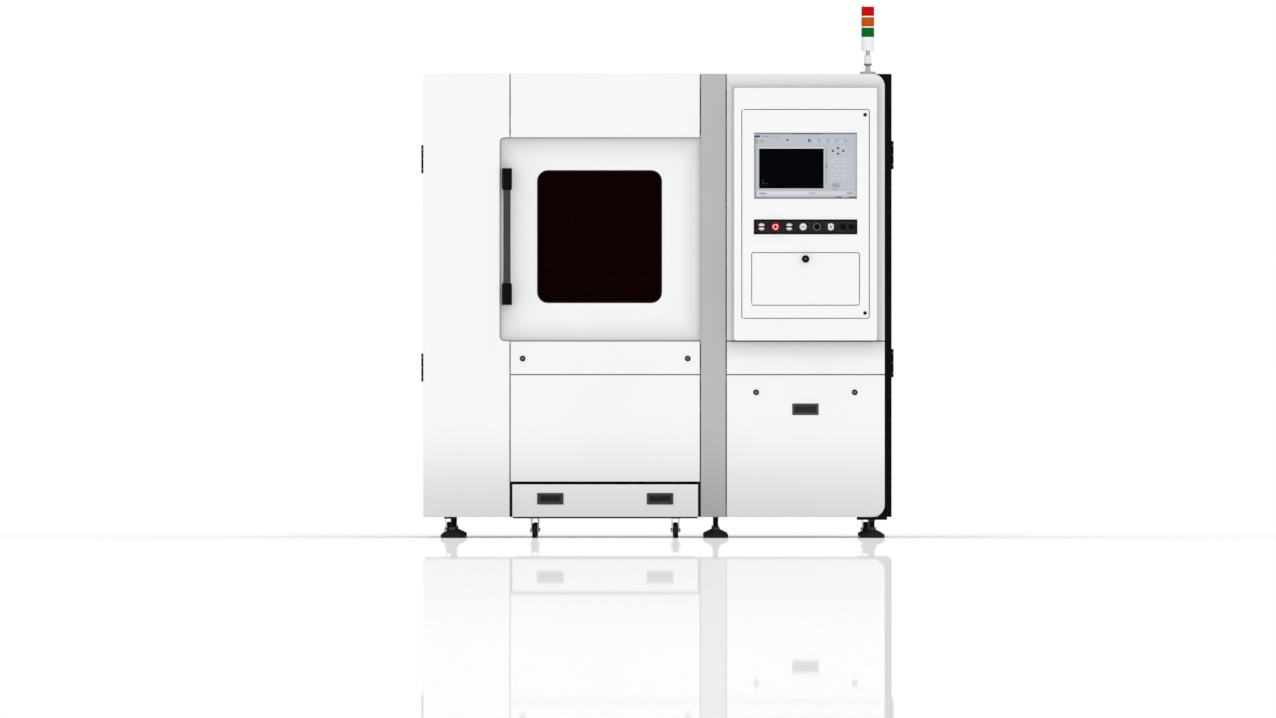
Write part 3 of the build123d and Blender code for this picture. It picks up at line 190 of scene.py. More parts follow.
class Finish:
    """Node tree of one material, with short calls that add and join its nodes."""

    def __init__(self, name, **sockets):
        self.material = bpy.data.materials.new(name)
        self.material.use_nodes = True
        self.tree = self.material.node_tree
        self.tree.nodes.clear()
        output = self.tree.nodes.new("ShaderNodeOutputMaterial")
        self.shader = self.tree.nodes.new("ShaderNodeBsdfPrincipled")
        self.join(self.shader.outputs[0], output.inputs[0])
        self.place = self.tree.nodes.new("ShaderNodeTexCoord").outputs["Object"]
        self.normal = None
        self.colour = None
        for socket, value in sockets.items():
            self.shader.inputs[socket.replace("_", " ")].default_value = value

    def join(self, source, target):
        """Link from an output to an input."""
        self.tree.links.new(source, target)

    def noise(self, scale, detail=2.0, stretch=None):
        """Grey noise with that many blobs to the metre, drawn out along an axis where stretch is given."""
        node = self.tree.nodes.new("ShaderNodeTexNoise")
        node.inputs["Scale"].default_value = scale
        node.inputs["Detail"].default_value = detail
        source = self.place
        if stretch:
            mapping = self.tree.nodes.new("ShaderNodeMapping")
            mapping.inputs["Scale"].default_value = stretch
            self.join(source, mapping.inputs["Vector"])
            source = mapping.outputs[0]
        self.join(source, node.inputs["Vector"])
        return node.outputs[0]

    def tone(self, source, colour, spread):
        """Base colour that wanders by the given share either side of its middle."""
        ramp = self.tree.nodes.new("ShaderNodeValToRGB")
        stops = ((NOISE_LOW, 1 - spread), (NOISE_HIGH, 1 + spread))
        for element, (position, share) in zip(ramp.color_ramp.elements, stops):
            element.position = position
            element.color = [min(c * share, 1) for c in colour] + [1]
        self.join(source, ramp.inputs[0])
        self.colour = ramp.outputs[0]
        self.join(self.colour, self.shader.inputs["Base Color"])

    def sum(self, operation, first, second=0.0):
        """One step of arithmetic on a node's output and a number or another output."""
        node = self.tree.nodes.new("ShaderNodeMath")
        node.operation = operation
        for socket, value in zip(node.inputs, (first, second)):
            if isinstance(value, float):
                socket.default_value = value
            else:
                self.join(value, socket)
        return node.outputs[0]

    def front_view(self):
        """Outputs with the place across and up, as seen from the front."""
        split = self.tree.nodes.new("ShaderNodeSeparateXYZ")
        self.join(self.place, split.inputs[0])
        return split.outputs["X"], split.outputs["Z"]

    def shade(self, spans, way, depth):
        """Painted shade along a front-view rectangle: the base colour dims by depth at its edge and clears
        away from it, outwards where way is 1 and inwards where it is -1."""
        gaps = []
        for place, (low, high) in zip(self.front_view(), spans):
            away = self.sum("ABSOLUTE", self.sum("SUBTRACT", place, (low + high) / 2))
            gaps.append(self.sum("SUBTRACT", away, (high - low) / 2))
        share = self.sum("MULTIPLY", self.sum("MAXIMUM", *gaps), way / PAINTED_SHADE_REACH)
        ramp = self.tree.nodes.new("ShaderNodeValToRGB")
        stops = ramp.color_ramp.elements
        while len(stops) < len(PAINTED_SHADE_SHARES):
            stops.new(0.5)
        for stop, (position, dimness) in zip(stops, PAINTED_SHADE_SHARES):
            stop.position = position
            stop.color = [1 - depth * dimness] * 3 + [1]
        self.join(share, ramp.inputs[0])
        product = self.tree.nodes.new("ShaderNodeVectorMath")
        product.operation = "MULTIPLY"
        self.join(self.colour, product.inputs[0])
        self.join(ramp.outputs[0], product.inputs[1])
        self.join(product.outputs[0], self.shader.inputs["Base Color"])

    def ring(self, centre, radius, half, colour):
        """Printed front-view ring in arcs: a second colour where the distance from the centre is near the
        radius and the angle, times the number of arcs, is away from the crest of its sine."""
        across, up = (self.sum("SUBTRACT", place, float(start))
                      for place, start in zip(self.front_view(), (centre[0], centre[2])))
        away = self.sum("SQRT", self.sum("ADD", self.sum("POWER", across, 2.0), self.sum("POWER", up, 2.0)))
        near = self.sum("LESS_THAN", self.sum("ABSOLUTE", self.sum("SUBTRACT", away, radius)), half)
        angle = self.sum("MULTIPLY", self.sum("ARCTAN2", up, across), RING_ARCS)
        wave = self.sum("SINE", self.sum("ADD", angle, RING_TURN))
        mask = self.sum("MULTIPLY", near, self.sum("LESS_THAN", wave, RING_CREST))
        mix = self.tree.nodes.new("ShaderNodeMix")
        mix.data_type = "RGBA"
        self.join(mask, mix.inputs[MIX_FACTOR])
        self.join(self.colour, mix.inputs[MIX_FIRST])
        mix.inputs[MIX_SECOND].default_value = tuple(colour) + (1,)
        self.join(mix.outputs[MIX_RESULT], self.shader.inputs["Base Color"])

    def gloss(self, source, low, high):
        """Roughness that wanders between two values."""
        node = self.tree.nodes.new("ShaderNodeMapRange")
        limits = {"From Min": NOISE_LOW, "From Max": NOISE_HIGH, "To Min": low, "To Max": high}
        for socket, value in limits.items():
            node.inputs[socket].default_value = value
        self.join(source, node.inputs["Value"])
        self.join(node.outputs[0], self.shader.inputs["Roughness"])

    def relief(self, source, depth, strength=0.5):
        """Bumps of that depth, laid over those already there."""
        node = self.tree.nodes.new("ShaderNodeBump")
        node.inputs["Strength"].default_value = strength
        node.inputs["Distance"].default_value = depth
        self.join(source, node.inputs["Height"])
        if self.normal:
            self.join(self.normal, node.inputs["Normal"])
        self.normal = node.outputs[0]
        self.join(self.normal, self.shader.inputs["Normal"])


def coat(name, colour, roughness=0.42, spread=0.012, shine=0.4, corner=None, wander=0.055):
    """Powder coat: fine orange-peel bumps, a faint drift of tone and handled patches that shine more; where
    corner is given, painted shade darkens the colour along a front-view rectangle.
    """
    settings = finishes()
    finish = Finish(name, Specular_IOR_Level=shine)
    finish.tone(finish.noise(scale=1.7, detail=3), colour, spread)
    # corner holds the rectangle, the way and the depth of the painted shade
    if corner:
        finish.shade(*corner)
    finish.gloss(finish.noise(scale=6, detail=4), roughness - wander, roughness + wander)
    finish.relief(finish.noise(scale=1 / settings.coat_grain, detail=1.5), settings.coat_depth, strength=0.35)
    return finish.material


def plated(name, colour, roughness=0.3, stretch=None, scale=60, spread=0.08):
    """Bare or plated metal: streaks along one axis where stretch is given, else cloudy crystal tone."""
    finish = Finish(name, Metallic=1.0)
    finish.tone(finish.noise(scale, detail=4, stretch=stretch), colour, spread)
    finish.gloss(finish.noise(scale * 1.7, detail=5, stretch=stretch), low=roughness - 0.08,
                 high=roughness + 0.12)
    finish.relief(finish.noise(scale * 9, detail=2, stretch=stretch), depth=0.02 * MM, strength=0.4)
    return finish.material


def moulded(name, colour, roughness=0.38, grain=0.9 * MM, depth=0.04 * MM, spread=0.06, shine=0.4):
    """Moulded plastic: spark-eroded grain, with a little wear in its shine."""
    finish = Finish(name, Specular_IOR_Level=shine)
    finish.tone(finish.noise(scale=40, detail=3), colour, spread)
    finish.gloss(finish.noise(scale=90, detail=4), low=roughness - 0.07, high=roughness + 0.08)
    finish.relief(finish.noise(scale=1 / grain, detail=1), depth)
    return finish.material


def rubbery(name, colour):
    """Rubber: dull, with dust lying in patches."""
    finish = Finish(name, Specular_IOR_Level=0.15)
    finish.tone(finish.noise(scale=55, detail=5), colour, spread=0.35)
    finish.gloss(finish.noise(scale=120, detail=3), low=0.62, high=0.85)
    finish.relief(finish.noise(scale=1400, detail=2), depth=0.06 * MM, strength=0.6)
    return finish.material


def lens_plastic(name, colour, mark=None):
    """Signal lens: deep-coloured moulding with a glossy skin, and a printed ring where a mark is given."""
    finish = Finish(name, Specular_IOR_Level=0.03)
    finish.tone(finish.noise(scale=30, detail=2), colour, spread=0.07)
    if mark:
        finish.ring(*mark)
    finish.gloss(finish.noise(scale=80, detail=3), low=0.2, high=0.32)
    finish.relief(finish.noise(scale=700, detail=1), depth=0.02 * MM, strength=0.3)
    return finish.material


def dark_pane(name, colour):
    """Filtering pane: tinted clear sheet, faintly streaked where it has been wiped."""
    finish = Finish(name, Transmission_Weight=1.0, IOR=1.14, Specular_Tint=(1.0, 0.2, 0.15, 1.0))
    finish.tone(finish.noise(scale=3, detail=2), colour, spread=0.25)
    finish.gloss(finish.noise(scale=9, detail=5, stretch=(1, 1, 5)), low=0.02, high=0.07)
    finish.relief(finish.noise(scale=12, detail=2), depth=0.01 * MM, strength=0.2)
    return finish.material


def lit_display(name):
    """Lit display: each field glows in its own colour, under a face with a fine grain."""
    finish = Finish(name, Base_Color=(0.001, 0.001, 0.001, 1), Roughness=0.3, Specular_IOR_Level=0.0,
                    Emission_Strength=1.0)
    paint = finish.tree.nodes.new("ShaderNodeAttribute")
    paint.attribute_name = "paint"
    finish.join(paint.outputs["Color"], finish.shader.inputs["Emission Color"])
    finish.relief(finish.noise(scale=3200, detail=1), depth=0.01 * MM, strength=0.3)
    return finish.material


# Materials made so far
palette = {}


def box_front():
    """Front-view edges of the control box, as spans along X and Z."""
    low, high = edges("control_box")
    return (float(low[0]), float(high[0])), (float(low[2]), float(high[2]))


def bay_front():
    """Front-view edges of the door bay: the leaf's own edges less its lap behind the panels."""
    low, high = edges("door_leaf")
    low_z = float(edges("bed_strip_panel")[1][2]) + HALF_SEAM
    high_z = float(edges("upper_front_panel")[0][2])
    lap = low_z - float(low[2])
    return (float(low[0]) + lap, float(high[0]) - lap), (low_z, high_z)


def finish_of(name):
    """Material of that name, made the first time that it is asked for."""
    if name not in palette:
        f = finishes()
        streaks = {"stretch": (0.4, 12, 12), "scale": 40}
        stop_ring = (middle("stop_button"), STOP_RING_RADIUS, STOP_RING_HALF, f.pale)
        recipes = {
            "white": lambda: coat("white_coat", f.white),
            # Fascia and door leaf: white coat with painted shade towards the control box and inwards from the
            # door bay's edges
            "fascia": lambda: coat("fascia_coat_painted_shade", f.white, corner=(box_front(), 1.0, BOX_PAINTED_SHADE)),
            "leaf": lambda: coat("leaf_coat_painted_shade", f.white, corner=(bay_front(), -1.0, BAY_PAINTED_SHADE)),
            "grey": lambda: coat("grey_coat", f.grey, roughness=0.46),
            "black": lambda: coat("black_coat", f.black, roughness=0.45, spread=0.1, shine=0.05, wander=0.02),
            "frame": lambda: coat("frame_coat", f.frame_coat, roughness=0.36, spread=0.05),
            "device": lambda: coat("device_coat", (0.10, 0.105, 0.115), roughness=0.45, spread=0.05),
            "grip": lambda: coat("grip_coat", f.grip, roughness=0.36, spread=0.05, shine=0.2),
            "pane": lambda: dark_pane("filter_pane", f.pane),
            "moulding": lambda: moulded("black_moulding", f.moulding, shine=0.06),
            "pull": lambda: moulded("pull_moulding", f.pull, roughness=0.45, shine=0.2),
            "pale": lambda: moulded("pale_moulding", f.pale, roughness=0.35, spread=0.02),
            "hub": lambda: moulded("wheel_hub", (0.16, 0.16, 0.165), roughness=0.5),
            # Grey of the tower's foot and neck: partly its own colour, partly painted shade
            "silver": lambda: moulded("silver_moulding_and_painted_shade", (0.46, 0.46, 0.46), roughness=0.4, spread=0.02),
            # Floor of the pulls' recesses: dark as painted shade
            "recess": lambda: moulded("pull_floor_painted_shade", (0.02, 0.02, 0.02), roughness=0.5, shine=0.1),
            "ceramic": lambda: moulded("ceramic_ring", (0.75, 0.74, 0.70), roughness=0.3, spread=0.03),
            "blue": lambda: moulded("blue_moulding", (0.01, 0.06, 0.28), roughness=0.35),
            "orange": lambda: moulded("orange_moulding", (0.7, 0.16, 0.01), roughness=0.4),
            "red": lambda: lens_plastic("signal_red", f.red),
            "amber": lambda: lens_plastic("signal_amber", f.amber),
            "green": lambda: lens_plastic("signal_green", f.green),
            "stop": lambda: lens_plastic("stop_red", f.red, stop_ring),
            "deep_red": lambda: lens_plastic("button_red", tuple(DEEP_RED_SHARE * c for c in f.red)),
            "deep_green": lambda: lens_plastic("button_green", tuple(DEEP_GREEN_SHARE * c for c in f.green)),
            "zinc": lambda: plated("zinc_plate", f.zinc, roughness=0.34),
            "bright": lambda: plated("bright_ring", (0.72, 0.72, 0.73), roughness=0.22, scale=140,
                                     spread=0.04),
            "rail": lambda: plated("ground_steel", (0.60, 0.61, 0.62), roughness=0.24, stretch=(1, 60, 1),
                                   scale=8, spread=0.05),
            "steel": lambda: plated("sheet_steel", f.steel, roughness=0.46, stretch=(1, 1, 5), scale=18,
                                    spread=0.22),
            "alloy": lambda: plated("brushed_alloy", f.alloy, roughness=0.36, spread=0.05, **streaks),
            "dark_alloy": lambda: plated("dark_alloy", (0.06, 0.062, 0.068), roughness=0.4, spread=0.1,
                                         **streaks),
            "brass": lambda: plated("brass_nozzle", (0.72, 0.45, 0.16), roughness=0.25, scale=200),
            "rubber": lambda: rubbery("black_rubber", f.rubber),
            "display": lambda: lit_display("lit_display"),
        }
        palette[name] = recipes[name]()
    return palette[name]


# Shapes, worked out as whole arrays


def mm(rows):
    """Rows in millimetres as an array in metres."""
    return np.asarray(rows, float) * MM


def about(place, half):
    """Span of that half width about a place."""
    return place - half, place + half


def lathe(centre, axis, profile, count=48):
    """Surface of revolution: each (along, radius) point of the profile is swung through the full angle."""
    across, up, along = (np.array(v, float) for v in AXES[axis])
    profile = np.asarray(profile, float)
    angle = np.linspace(0, 2 * math.pi, count, endpoint=False)
    ring = np.outer(np.cos(angle), across) + np.outer(np.sin(angle), up)
    grid = np.asarray(centre, float) + profile[:, 0, None, None] * along + profile[:, 1, None, None] * ring
    return skin(grid)


def skin(grid, close_rows=False):
    """Quads over a grid of points whose columns close on themselves, and its rows too where asked."""
    rows, columns = grid.shape[:2]
    index = np.arange(rows * columns).reshape(rows, columns)
    if close_rows:
        index = np.vstack([index, index[:1]])
    right = np.roll(index, -1, 1)
    quads = np.stack([index[:-1], right[:-1], right[1:], index[1:]], -1).reshape(-1, 4)
    return grid.reshape(-1, 3), [quads]


def capped(grid):
    """Skin over a grid of points, with a flat face over its first row and one over its last."""
    points, faces = skin(grid)
    first = np.arange(grid.shape[1])[None]
    return points, faces + [first[:, ::-1], first + len(points) - grid.shape[1]]


def fluted(centre, heights, radii, depth, flutes, per_flute=6):
    """Upright turned skin whose radius dips by depth along a cosine as the angle goes round each flute."""
    angle = np.linspace(0, 2 * math.pi, flutes * per_flute, endpoint=False)
    dip = depth * (1 - np.cos(flutes * angle)) / 2
    heights, radii = np.asarray(heights, float), np.asarray(radii, float)
    share = np.where(radii > 0, 1.0, 0.0)
    radius = radii[:, None] - share[:, None] * dip[None, :]
    grid = np.stack([centre[0] + radius * np.cos(angle), centre[1] + radius * np.sin(angle),
                     np.broadcast_to(centre[2] + heights[:, None], radius.shape)], -1)
    return skin(grid)


def boxes(spans):
    """Blocks from rows of low and high corners (x0, x1, y0, y1, z0, z1): eight corners and six faces each."""
    spans = np.asarray(spans, float).reshape(-1, 3, 2)
    pick = np.array([[(i >> 0) & 1, (i >> 1) & 1, (i >> 2) & 1] for i in range(8)])
    corners = np.stack([spans[:, k, pick[:, k]] for k in range(3)], -1)
    sides = np.array([[0, 4, 6, 2], [1, 3, 7, 5], [0, 1, 5, 4], [2, 6, 7, 3], [0, 2, 3, 1], [4, 5, 7, 6]])
    faces = sides[None] + 8 * np.arange(len(spans))[:, None, None]
    return corners.reshape(-1, 3), [faces.reshape(-1, 4)]


def rounded_outline(x0, x1, z0, z1, radius, steps=8):
    """Front-view rounded rectangle, anticlockwise, with its outward directions: a quarter turn a corner."""
    turn = np.linspace(0, math.pi / 2, steps)
    angle = np.concatenate([turn + k * math.pi / 2 for k in range(4)])
    outward = np.stack([np.cos(angle), np.sin(angle)], -1)
    corner = np.repeat([[x1 - radius, z1 - radius], [x0 + radius, z1 - radius], [x0 + radius, z0 + radius],
                        [x1 - radius, z0 + radius]], steps, 0)
    return corner + radius * outward, outward


def frame_strip(outline, outward, profile):
    """Closed strip: a loop of (outward, back) points carried round a front-view outline."""
    profile = np.asarray(profile, float)
    flat = outline[None] + profile[:, None, :1] * outward[None]
    depth = np.broadcast_to(profile[:, None, 1], flat.shape[:2])
    grid = np.stack([flat[..., 0], depth, flat[..., 1]], -1)
    return skin(grid, close_rows=True)


def edging(path, outward, profile):
    """Strip along an open front-view path: a loop of (outward, back) points carried along it and capped."""
    profile = np.asarray(profile, float)
    flat = path[:, None] + profile[None, :, :1] * outward[:, None]
    depth = np.broadcast_to(profile[None, :, 1], flat.shape[:2])
    return capped(np.stack([flat[..., 0], depth, flat[..., 1]], -1))


def plate(outline, outward, front, thick, edge):
    """Plate with a rounded rim: the outline drawn in at the front by a quarter circle, then closed flat."""
    turn = np.linspace(0, math.pi / 2, 5)
    inward = np.concatenate([[0], -edge * (1 - np.cos(turn))])
    depth = np.concatenate([[front + thick], front + edge * (1 - np.sin(turn))])
    flat = outline[None] + inward[:, None, None] * outward[None]
    depth = np.broadcast_to(depth[:, None], flat.shape[:2])
    return capped(np.stack([flat[..., 0], depth, flat[..., 1]], -1))


def nut(radius, height):
    """Profile of a hexagon with lightly turned corners."""
    return np.array(NUT_SHARES) * (height, radius)


def screws(places, axis, radius=None, height=None):
    """Button-head screws on those points, with a round socket in the crown of each."""
    radius = radius or trim().screw_radius
    height = height or SCREW_HEIGHT_SHARE * radius
    return [lathe(place, axis, np.array(SCREW_SHARES) * (height, radius), count=20) for place in places]


def piece(name, shells, finish, body, bevel=0.0, replaces=(), crease=32, merge=True):
    """Object from one or more shells, at the origin, riding on its body and smooth up to the crease angle."""
    points = np.concatenate([p for p, _ in shells])
    starts = np.cumsum([0] + [len(p) for p, _ in shells[:-1]])
    faces = [(block + start).tolist() for (_, blocks), start in zip(shells, starts) for block in blocks]
    mesh = bpy.data.meshes.new(name)
    mesh.from_pydata(points.tolist(), [], sum(faces, []))
    if merge:
        work = bmesh.new()
        work.from_mesh(mesh)
        bmesh.ops.remove_doubles(work, verts=work.verts, dist=WELD_DISTANCE)
        bmesh.ops.dissolve_degenerate(work, dist=THIN_DISTANCE, edges=work.edges)
        work.to_mesh(mesh)
        work.free()
    mesh.shade_smooth()
    mesh.set_sharp_from_angle(angle=math.radians(crease))
    mesh.materials.append(finish_of(finish))
    made = bpy.data.objects.new(name, mesh)
    bpy.context.scene.collection.objects.link(made)
    if bevel:
        modifier = made.modifiers.new("edges", "BEVEL")
        modifier.width = bevel
        modifier.segments = BEVEL_STEPS
        modifier.limit_method = "ANGLE"
        modifier.angle_limit = BEVEL_ANGLE
    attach(made, body)
    if replaces:
        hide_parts(*replaces)
    return made


def edges(node):
    """Low and high corner of a CAD node as arrays."""
    low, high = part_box(node)
    return np.array(low), np.array(high)


def middle(node):
    """Middle of a CAD node's box."""
    low, high = edges(node)
    return (low + high) / 2


def front_middle(node):
    """Middle of a CAD node's front, as x, y and z."""
    x, _, z = middle(node)
    return x, edges(node)[0][1], z


def body_foot():
    """Height of the lower edge of the machine's body."""
    return edges("left_front_panel")[0][2]


# Operators, one for each group of pieces

NODE_FINISH = {
    "white": ("left_front_panel", "upper_front_panel", "lower_front_panel", "bed_strip_panel",
              "cabinet_front_panel", "control_box", "control_panel", "keyboard_flap", "cart_bin"),
    "fascia": ("right_fascia", "fascia_strip"),
    "leaf": ("door_leaf",),
    "grey": ("grey_column",),
    "black": ("cabinet_shell", "chamber_shell", "left_side_door", "right_side_door", "side_hinge_bases"),
    "frame": ("welded_frame", "machine_bed"),
    "zinc": ("transport_caster_forks", "cart_caster_forks", "door_rails"),
    "steel": ("slat_table", "scrap_chute"),
    "pane": ("door_window",),
    "moulding": ("door_handle_mounts", "flap_knob", "keyboard", "selector_knob", "monitor", "button_plate",
                 "strip_lock_left", "strip_lock_right", "cabinet_lock_left", "cabinet_lock_right"),
    "pull": ("cart_pulls", "cabinet_pull"),
    "grip": ("door_handle_grip",),
    "red": ("red_button", "tower_lens_red"),
    "stop": ("stop_button",),
    "green": ("green_button", "tower_lens_green"),
    "amber": ("tower_lens_amber",),
    "pale": ("white_button", "key_switch", "tower_stand"),
    "alloy": ("gantry_beam", "x_carriage", "cutting_head"),
    "device": ("laser_source", "electrics_plate"),
    "rubber": ("levelling_feet", "cart_wheel_front_left", "cart_wheel_front_right", "cart_wheel_rear_left",
               "cart_wheel_rear_right", "transport_wheel_left", "transport_wheel_right"),
}


class CUTTER_OT_coats(Operator):
    """Give every solid of the model its finish"""

    bl_idname = "cutter.coats"
    bl_label = "Coats and finishes"

    def execute(self, context):
        for name, nodes in NODE_FINISH.items():
            for node in nodes:
                materials = frame["nodes"][node].data.materials
                materials.clear()
                materials.append(finish_of(name))
        return {"FINISHED"}


# Display: its margin in the monitor, and the lift of its first layer and of each further one
DISPLAY_RIM = 18 * MM
DISPLAY_LIFT = 0.25 * MM
LAYER_STEP = 0.12 * MM

DISPLAY_TONES = {
    "ground": (0.50, 0.525, 0.58), "dark": (0.12, 0.13, 0.16), "pale": (0.68, 0.70, 0.74),
    "mark": (0.26, 0.29, 0.36), "top_bar": (0.20, 0.205, 0.22), "top_tab": (0.13, 0.135, 0.15),
    "left_bar": (0.33, 0.34, 0.38), "right_bar": (0.40, 0.41, 0.45), "bottom_bar": (0.25, 0.26, 0.29),
    "title": (0.045, 0.04, 0.27), "violet": (0.10, 0.07, 0.38), "lime": (0.44, 0.50, 0.05),
    "drawing": (0.0006, 0.0006, 0.002), "axes": (0.035, 0.035, 0.045), "slider": (0.36, 0.37, 0.41),
    "panel": (0.515, 0.54, 0.585), "tile": (0.36, 0.38, 0.52), "tile_foot": (0.12, 0.12, 0.36),
    "status": (0.62, 0.655, 0.66), "status_mark": (0.40, 0.46, 0.44), "icon_pale": (0.50, 0.57, 0.66),
    "icon_deep": (0.36, 0.42, 0.52), "icon_dark": (0.10, 0.14, 0.20), "arrow": (0.02, 0.022, 0.03),
    "key": (0.61, 0.635, 0.68),
}

# Fields of the display: left, right, top and bottom as shares of it, tone and layer
FIELD_SHARES = (
    (0.0, 1.0, 0.0, 1.0, "ground", 0), (0.0, 1.0, 0.0, 0.022, "top_bar", 1),
    (0.37, 0.66, 0.005, 0.025, "top_tab", 2), (0.0, 0.02, 0.07, 0.98, "left_bar", 1),
    (0.985, 1.0, 0.03, 0.98, "right_bar", 1), (0.0, 1.0, 0.975, 1.0, "bottom_bar", 1),
    (0.79, 0.85, 0.965, 0.985, "dark", 2), (0.92, 0.99, 0.965, 0.985, "dark", 2),
    (0.003, 0.058, 0.04, 0.068, "title", 2), (0.122, 0.136, 0.046, 0.064, "violet", 2),
    (0.023, 0.034, 0.10, 0.165, "mark", 2), (0.062, 0.098, 0.108, 0.150, "lime", 2),
    (0.315, 0.335, 0.095, 0.125, "dark", 2), (0.30, 0.35, 0.14, 0.148, "pale", 2),
    (0.045, 0.68, 0.222, 0.24, "pale", 1), (0.05, 0.675, 0.24, 0.842, "drawing", 2),
    (0.083, 0.092, 0.70, 0.775, "axes", 3), (0.083, 0.145, 0.766, 0.778, "axes", 3),
    (0.697, 0.706, 0.22, 0.78, "slider", 2), (0.697, 0.706, 0.48, 0.535, "dark", 3),
    (0.725, 0.975, 0.20, 0.86, "panel", 1), (0.752, 0.832, 0.765, 0.832, "tile", 2),
    (0.77, 0.80, 0.852, 0.862, "tile_foot", 2), (0.03, 0.52, 0.885, 0.945, "pale", 1),
    (0.525, 0.97, 0.885, 0.945, "status", 1), (0.05, 0.12, 0.908, 0.928, "mark", 2),
    (0.54, 0.60, 0.905, 0.925, "status_mark", 2), (0.90, 0.96, 0.905, 0.925, "mark", 2),
    (0.525, 0.545, 0.095, 0.14, "icon_dark", 3),
)

# Rows of like fields: where they start, their pitch, their spans, and the middles of the four arrows
MENU_START_SHARES, MENU_WIDTH_SHARE, MENU_SPAN_SHARES = (0.085, 0.18, 0.225), 0.02, (0.046, 0.062)
ICON_START_SHARE, ICON_PITCH_SHARE, ICON_WIDTH_SHARE = 0.49, 0.043, 0.025
ICON_SPAN_SHARES, ICON_COUNT = (0.10, 0.15), 11
ARROW_SHARES = ((0.815, 0.232), (0.764, 0.275), (0.866, 0.275), (0.815, 0.318))
ARROW_HALF_SHARES = (0.009, 0.014)
KEY_ROW_SHARES = (0.385, 0.435, 0.49, 0.56, 0.62, 0.68)
KEY_START_SHARE, KEY_ROW_WIDTH_SHARE, KEY_FILL_SHARE, KEY_HEIGHT_SHARE = 0.745, 0.2, 0.72, 0.03
KEY_MARK_START_SHARE, KEY_MARK_FILL_SHARE, KEY_MARK_SPAN_SHARES = 0.75, 0.3, (0.009, 0.02)
KEYS_IN_ROW = (5, 4)


def display_fields():
    """Fields of the display as (left, right, top, bottom) shares, tone and layer."""
    fields = list(FIELD_SHARES)
    fields += [(x, x + MENU_WIDTH_SHARE, *MENU_SPAN_SHARES, "mark", 2) for x in MENU_START_SHARES]
    icons = ICON_START_SHARE + ICON_PITCH_SHARE * np.arange(ICON_COUNT)
    fields += [(x, x + ICON_WIDTH_SHARE, *ICON_SPAN_SHARES, ("icon_pale", "icon_deep")[i % 2], 2)
               for i, x in enumerate(icons)]
    wide, tall = ARROW_HALF_SHARES
    fields += [(*about(x, wide), *about(z, tall), "arrow", 3) for x, z in ARROW_SHARES]
    for row, z in enumerate(KEY_ROW_SHARES):
        count = KEYS_IN_ROW[row % 2]
        pitch = KEY_ROW_WIDTH_SHARE / count
        starts = KEY_START_SHARE + pitch * np.arange(count)
        fields += [(x, x + pitch * KEY_FILL_SHARE, z, z + KEY_HEIGHT_SHARE, "key", 2) for x in starts]
        marks = KEY_MARK_START_SHARE + pitch * np.arange(row % 2, count, 2)
        low, high = KEY_MARK_SPAN_SHARES
        fields += [(x, x + pitch * KEY_MARK_FILL_SHARE, z + low, z + high, "mark", 3) for x in marks]
    return fields


class CUTTER_OT_display(Operator):
    """Make the lit display: plain fields, marks and a dark drawing area"""

    bl_idname = "cutter.display"
    bl_label = "Display"

    def execute(self, context):
        low, high = edges("monitor")
        left, foot = low[[0, 2]] + DISPLAY_RIM
        right, top = high[[0, 2]] - DISPLAY_RIM
        fields = display_fields()
        spans = np.array([field[:4] for field in fields])
        layer = np.array([field[5] for field in fields])
        across = left + (right - left) * spans[:, :2]
        up = top - (top - foot) * spans[:, :1:-1]
        front = low[1] - DISPLAY_LIFT - LAYER_STEP * layer
        back = np.full(len(fields), low[1])
        blocks = boxes(np.column_stack([across, front, back, up]))
        made = piece("display_fields", [blocks], "display", "control_door", merge=False)
        self.paint(made, [DISPLAY_TONES[field[4]] for field in fields])
        return {"FINISHED"}

    def paint(self, made, tones):
        """Colour attribute: one colour for the eight corners of each block, found by the blocks' order."""
        colours = np.repeat(np.column_stack([tones, np.ones(len(tones))]), 8, 0)
        attribute = made.data.attributes.new("paint", "FLOAT_COLOR", "POINT")
        attribute.data.foreach_set("color", colours.astype(np.float32).ravel())


# Operating controls. Turned profiles are rows of (along, radius) in millimetres
BEZEL_HOLE, BEZEL_EDGE, BEZEL_LIP = 11.4 * MM, 0.6 * MM, 1.6 * MM
BEZEL_HEIGHT_SHARES = (0, 0, 0.5, 0.85, 1, 1, 0.7, 0)
BEZEL_NODES = ("red_button", "green_button", "white_button", "key_switch", "selector_knob")
DARK_REFLECTION_NODES = ("red_button", "green_button", "key_switch")
# Dark blocks either side of three bezels: painted dark reflections in the bright rings
DARK_REFLECTION_OUT, DARK_REFLECTION_HALF_WIDTH, DARK_REFLECTION_HALF_HEIGHT, DARK_REFLECTION_PROUD = 13.2 * MM, 1.9 * MM, 6 * MM, 0.3 * MM
PLATE_RIM, PLATE_CORNER, PLATE_SKIN, PLATE_EDGE = 7 * MM, 3 * MM, 0.3 * MM, 0.2 * MM
STOP_COLLAR = ((0, 11.4), (0, 15.5), (2, 15.5), (3, 14.5), (3, 11.4), (0, 11.4))
PORT_COVER = ((0, 0), (0, 11), (2.5, 11), (4, 9.8), (4, 7), (3, 6.4), (3, 0))
PORT_COVER_INSETS = (55.5 * MM, 23.5 * MM)
CROWN_BASE, CROWN_DOME = ((0, 0), (0, 10.6)), ((1.9, 4), (2, 0))
CROWN_ROUND_MIDDLE, CROWN_ROUND_REACH, CROWN_SINK = (0.4, 7.6), (1.2, 2.9), 0.1 * MM
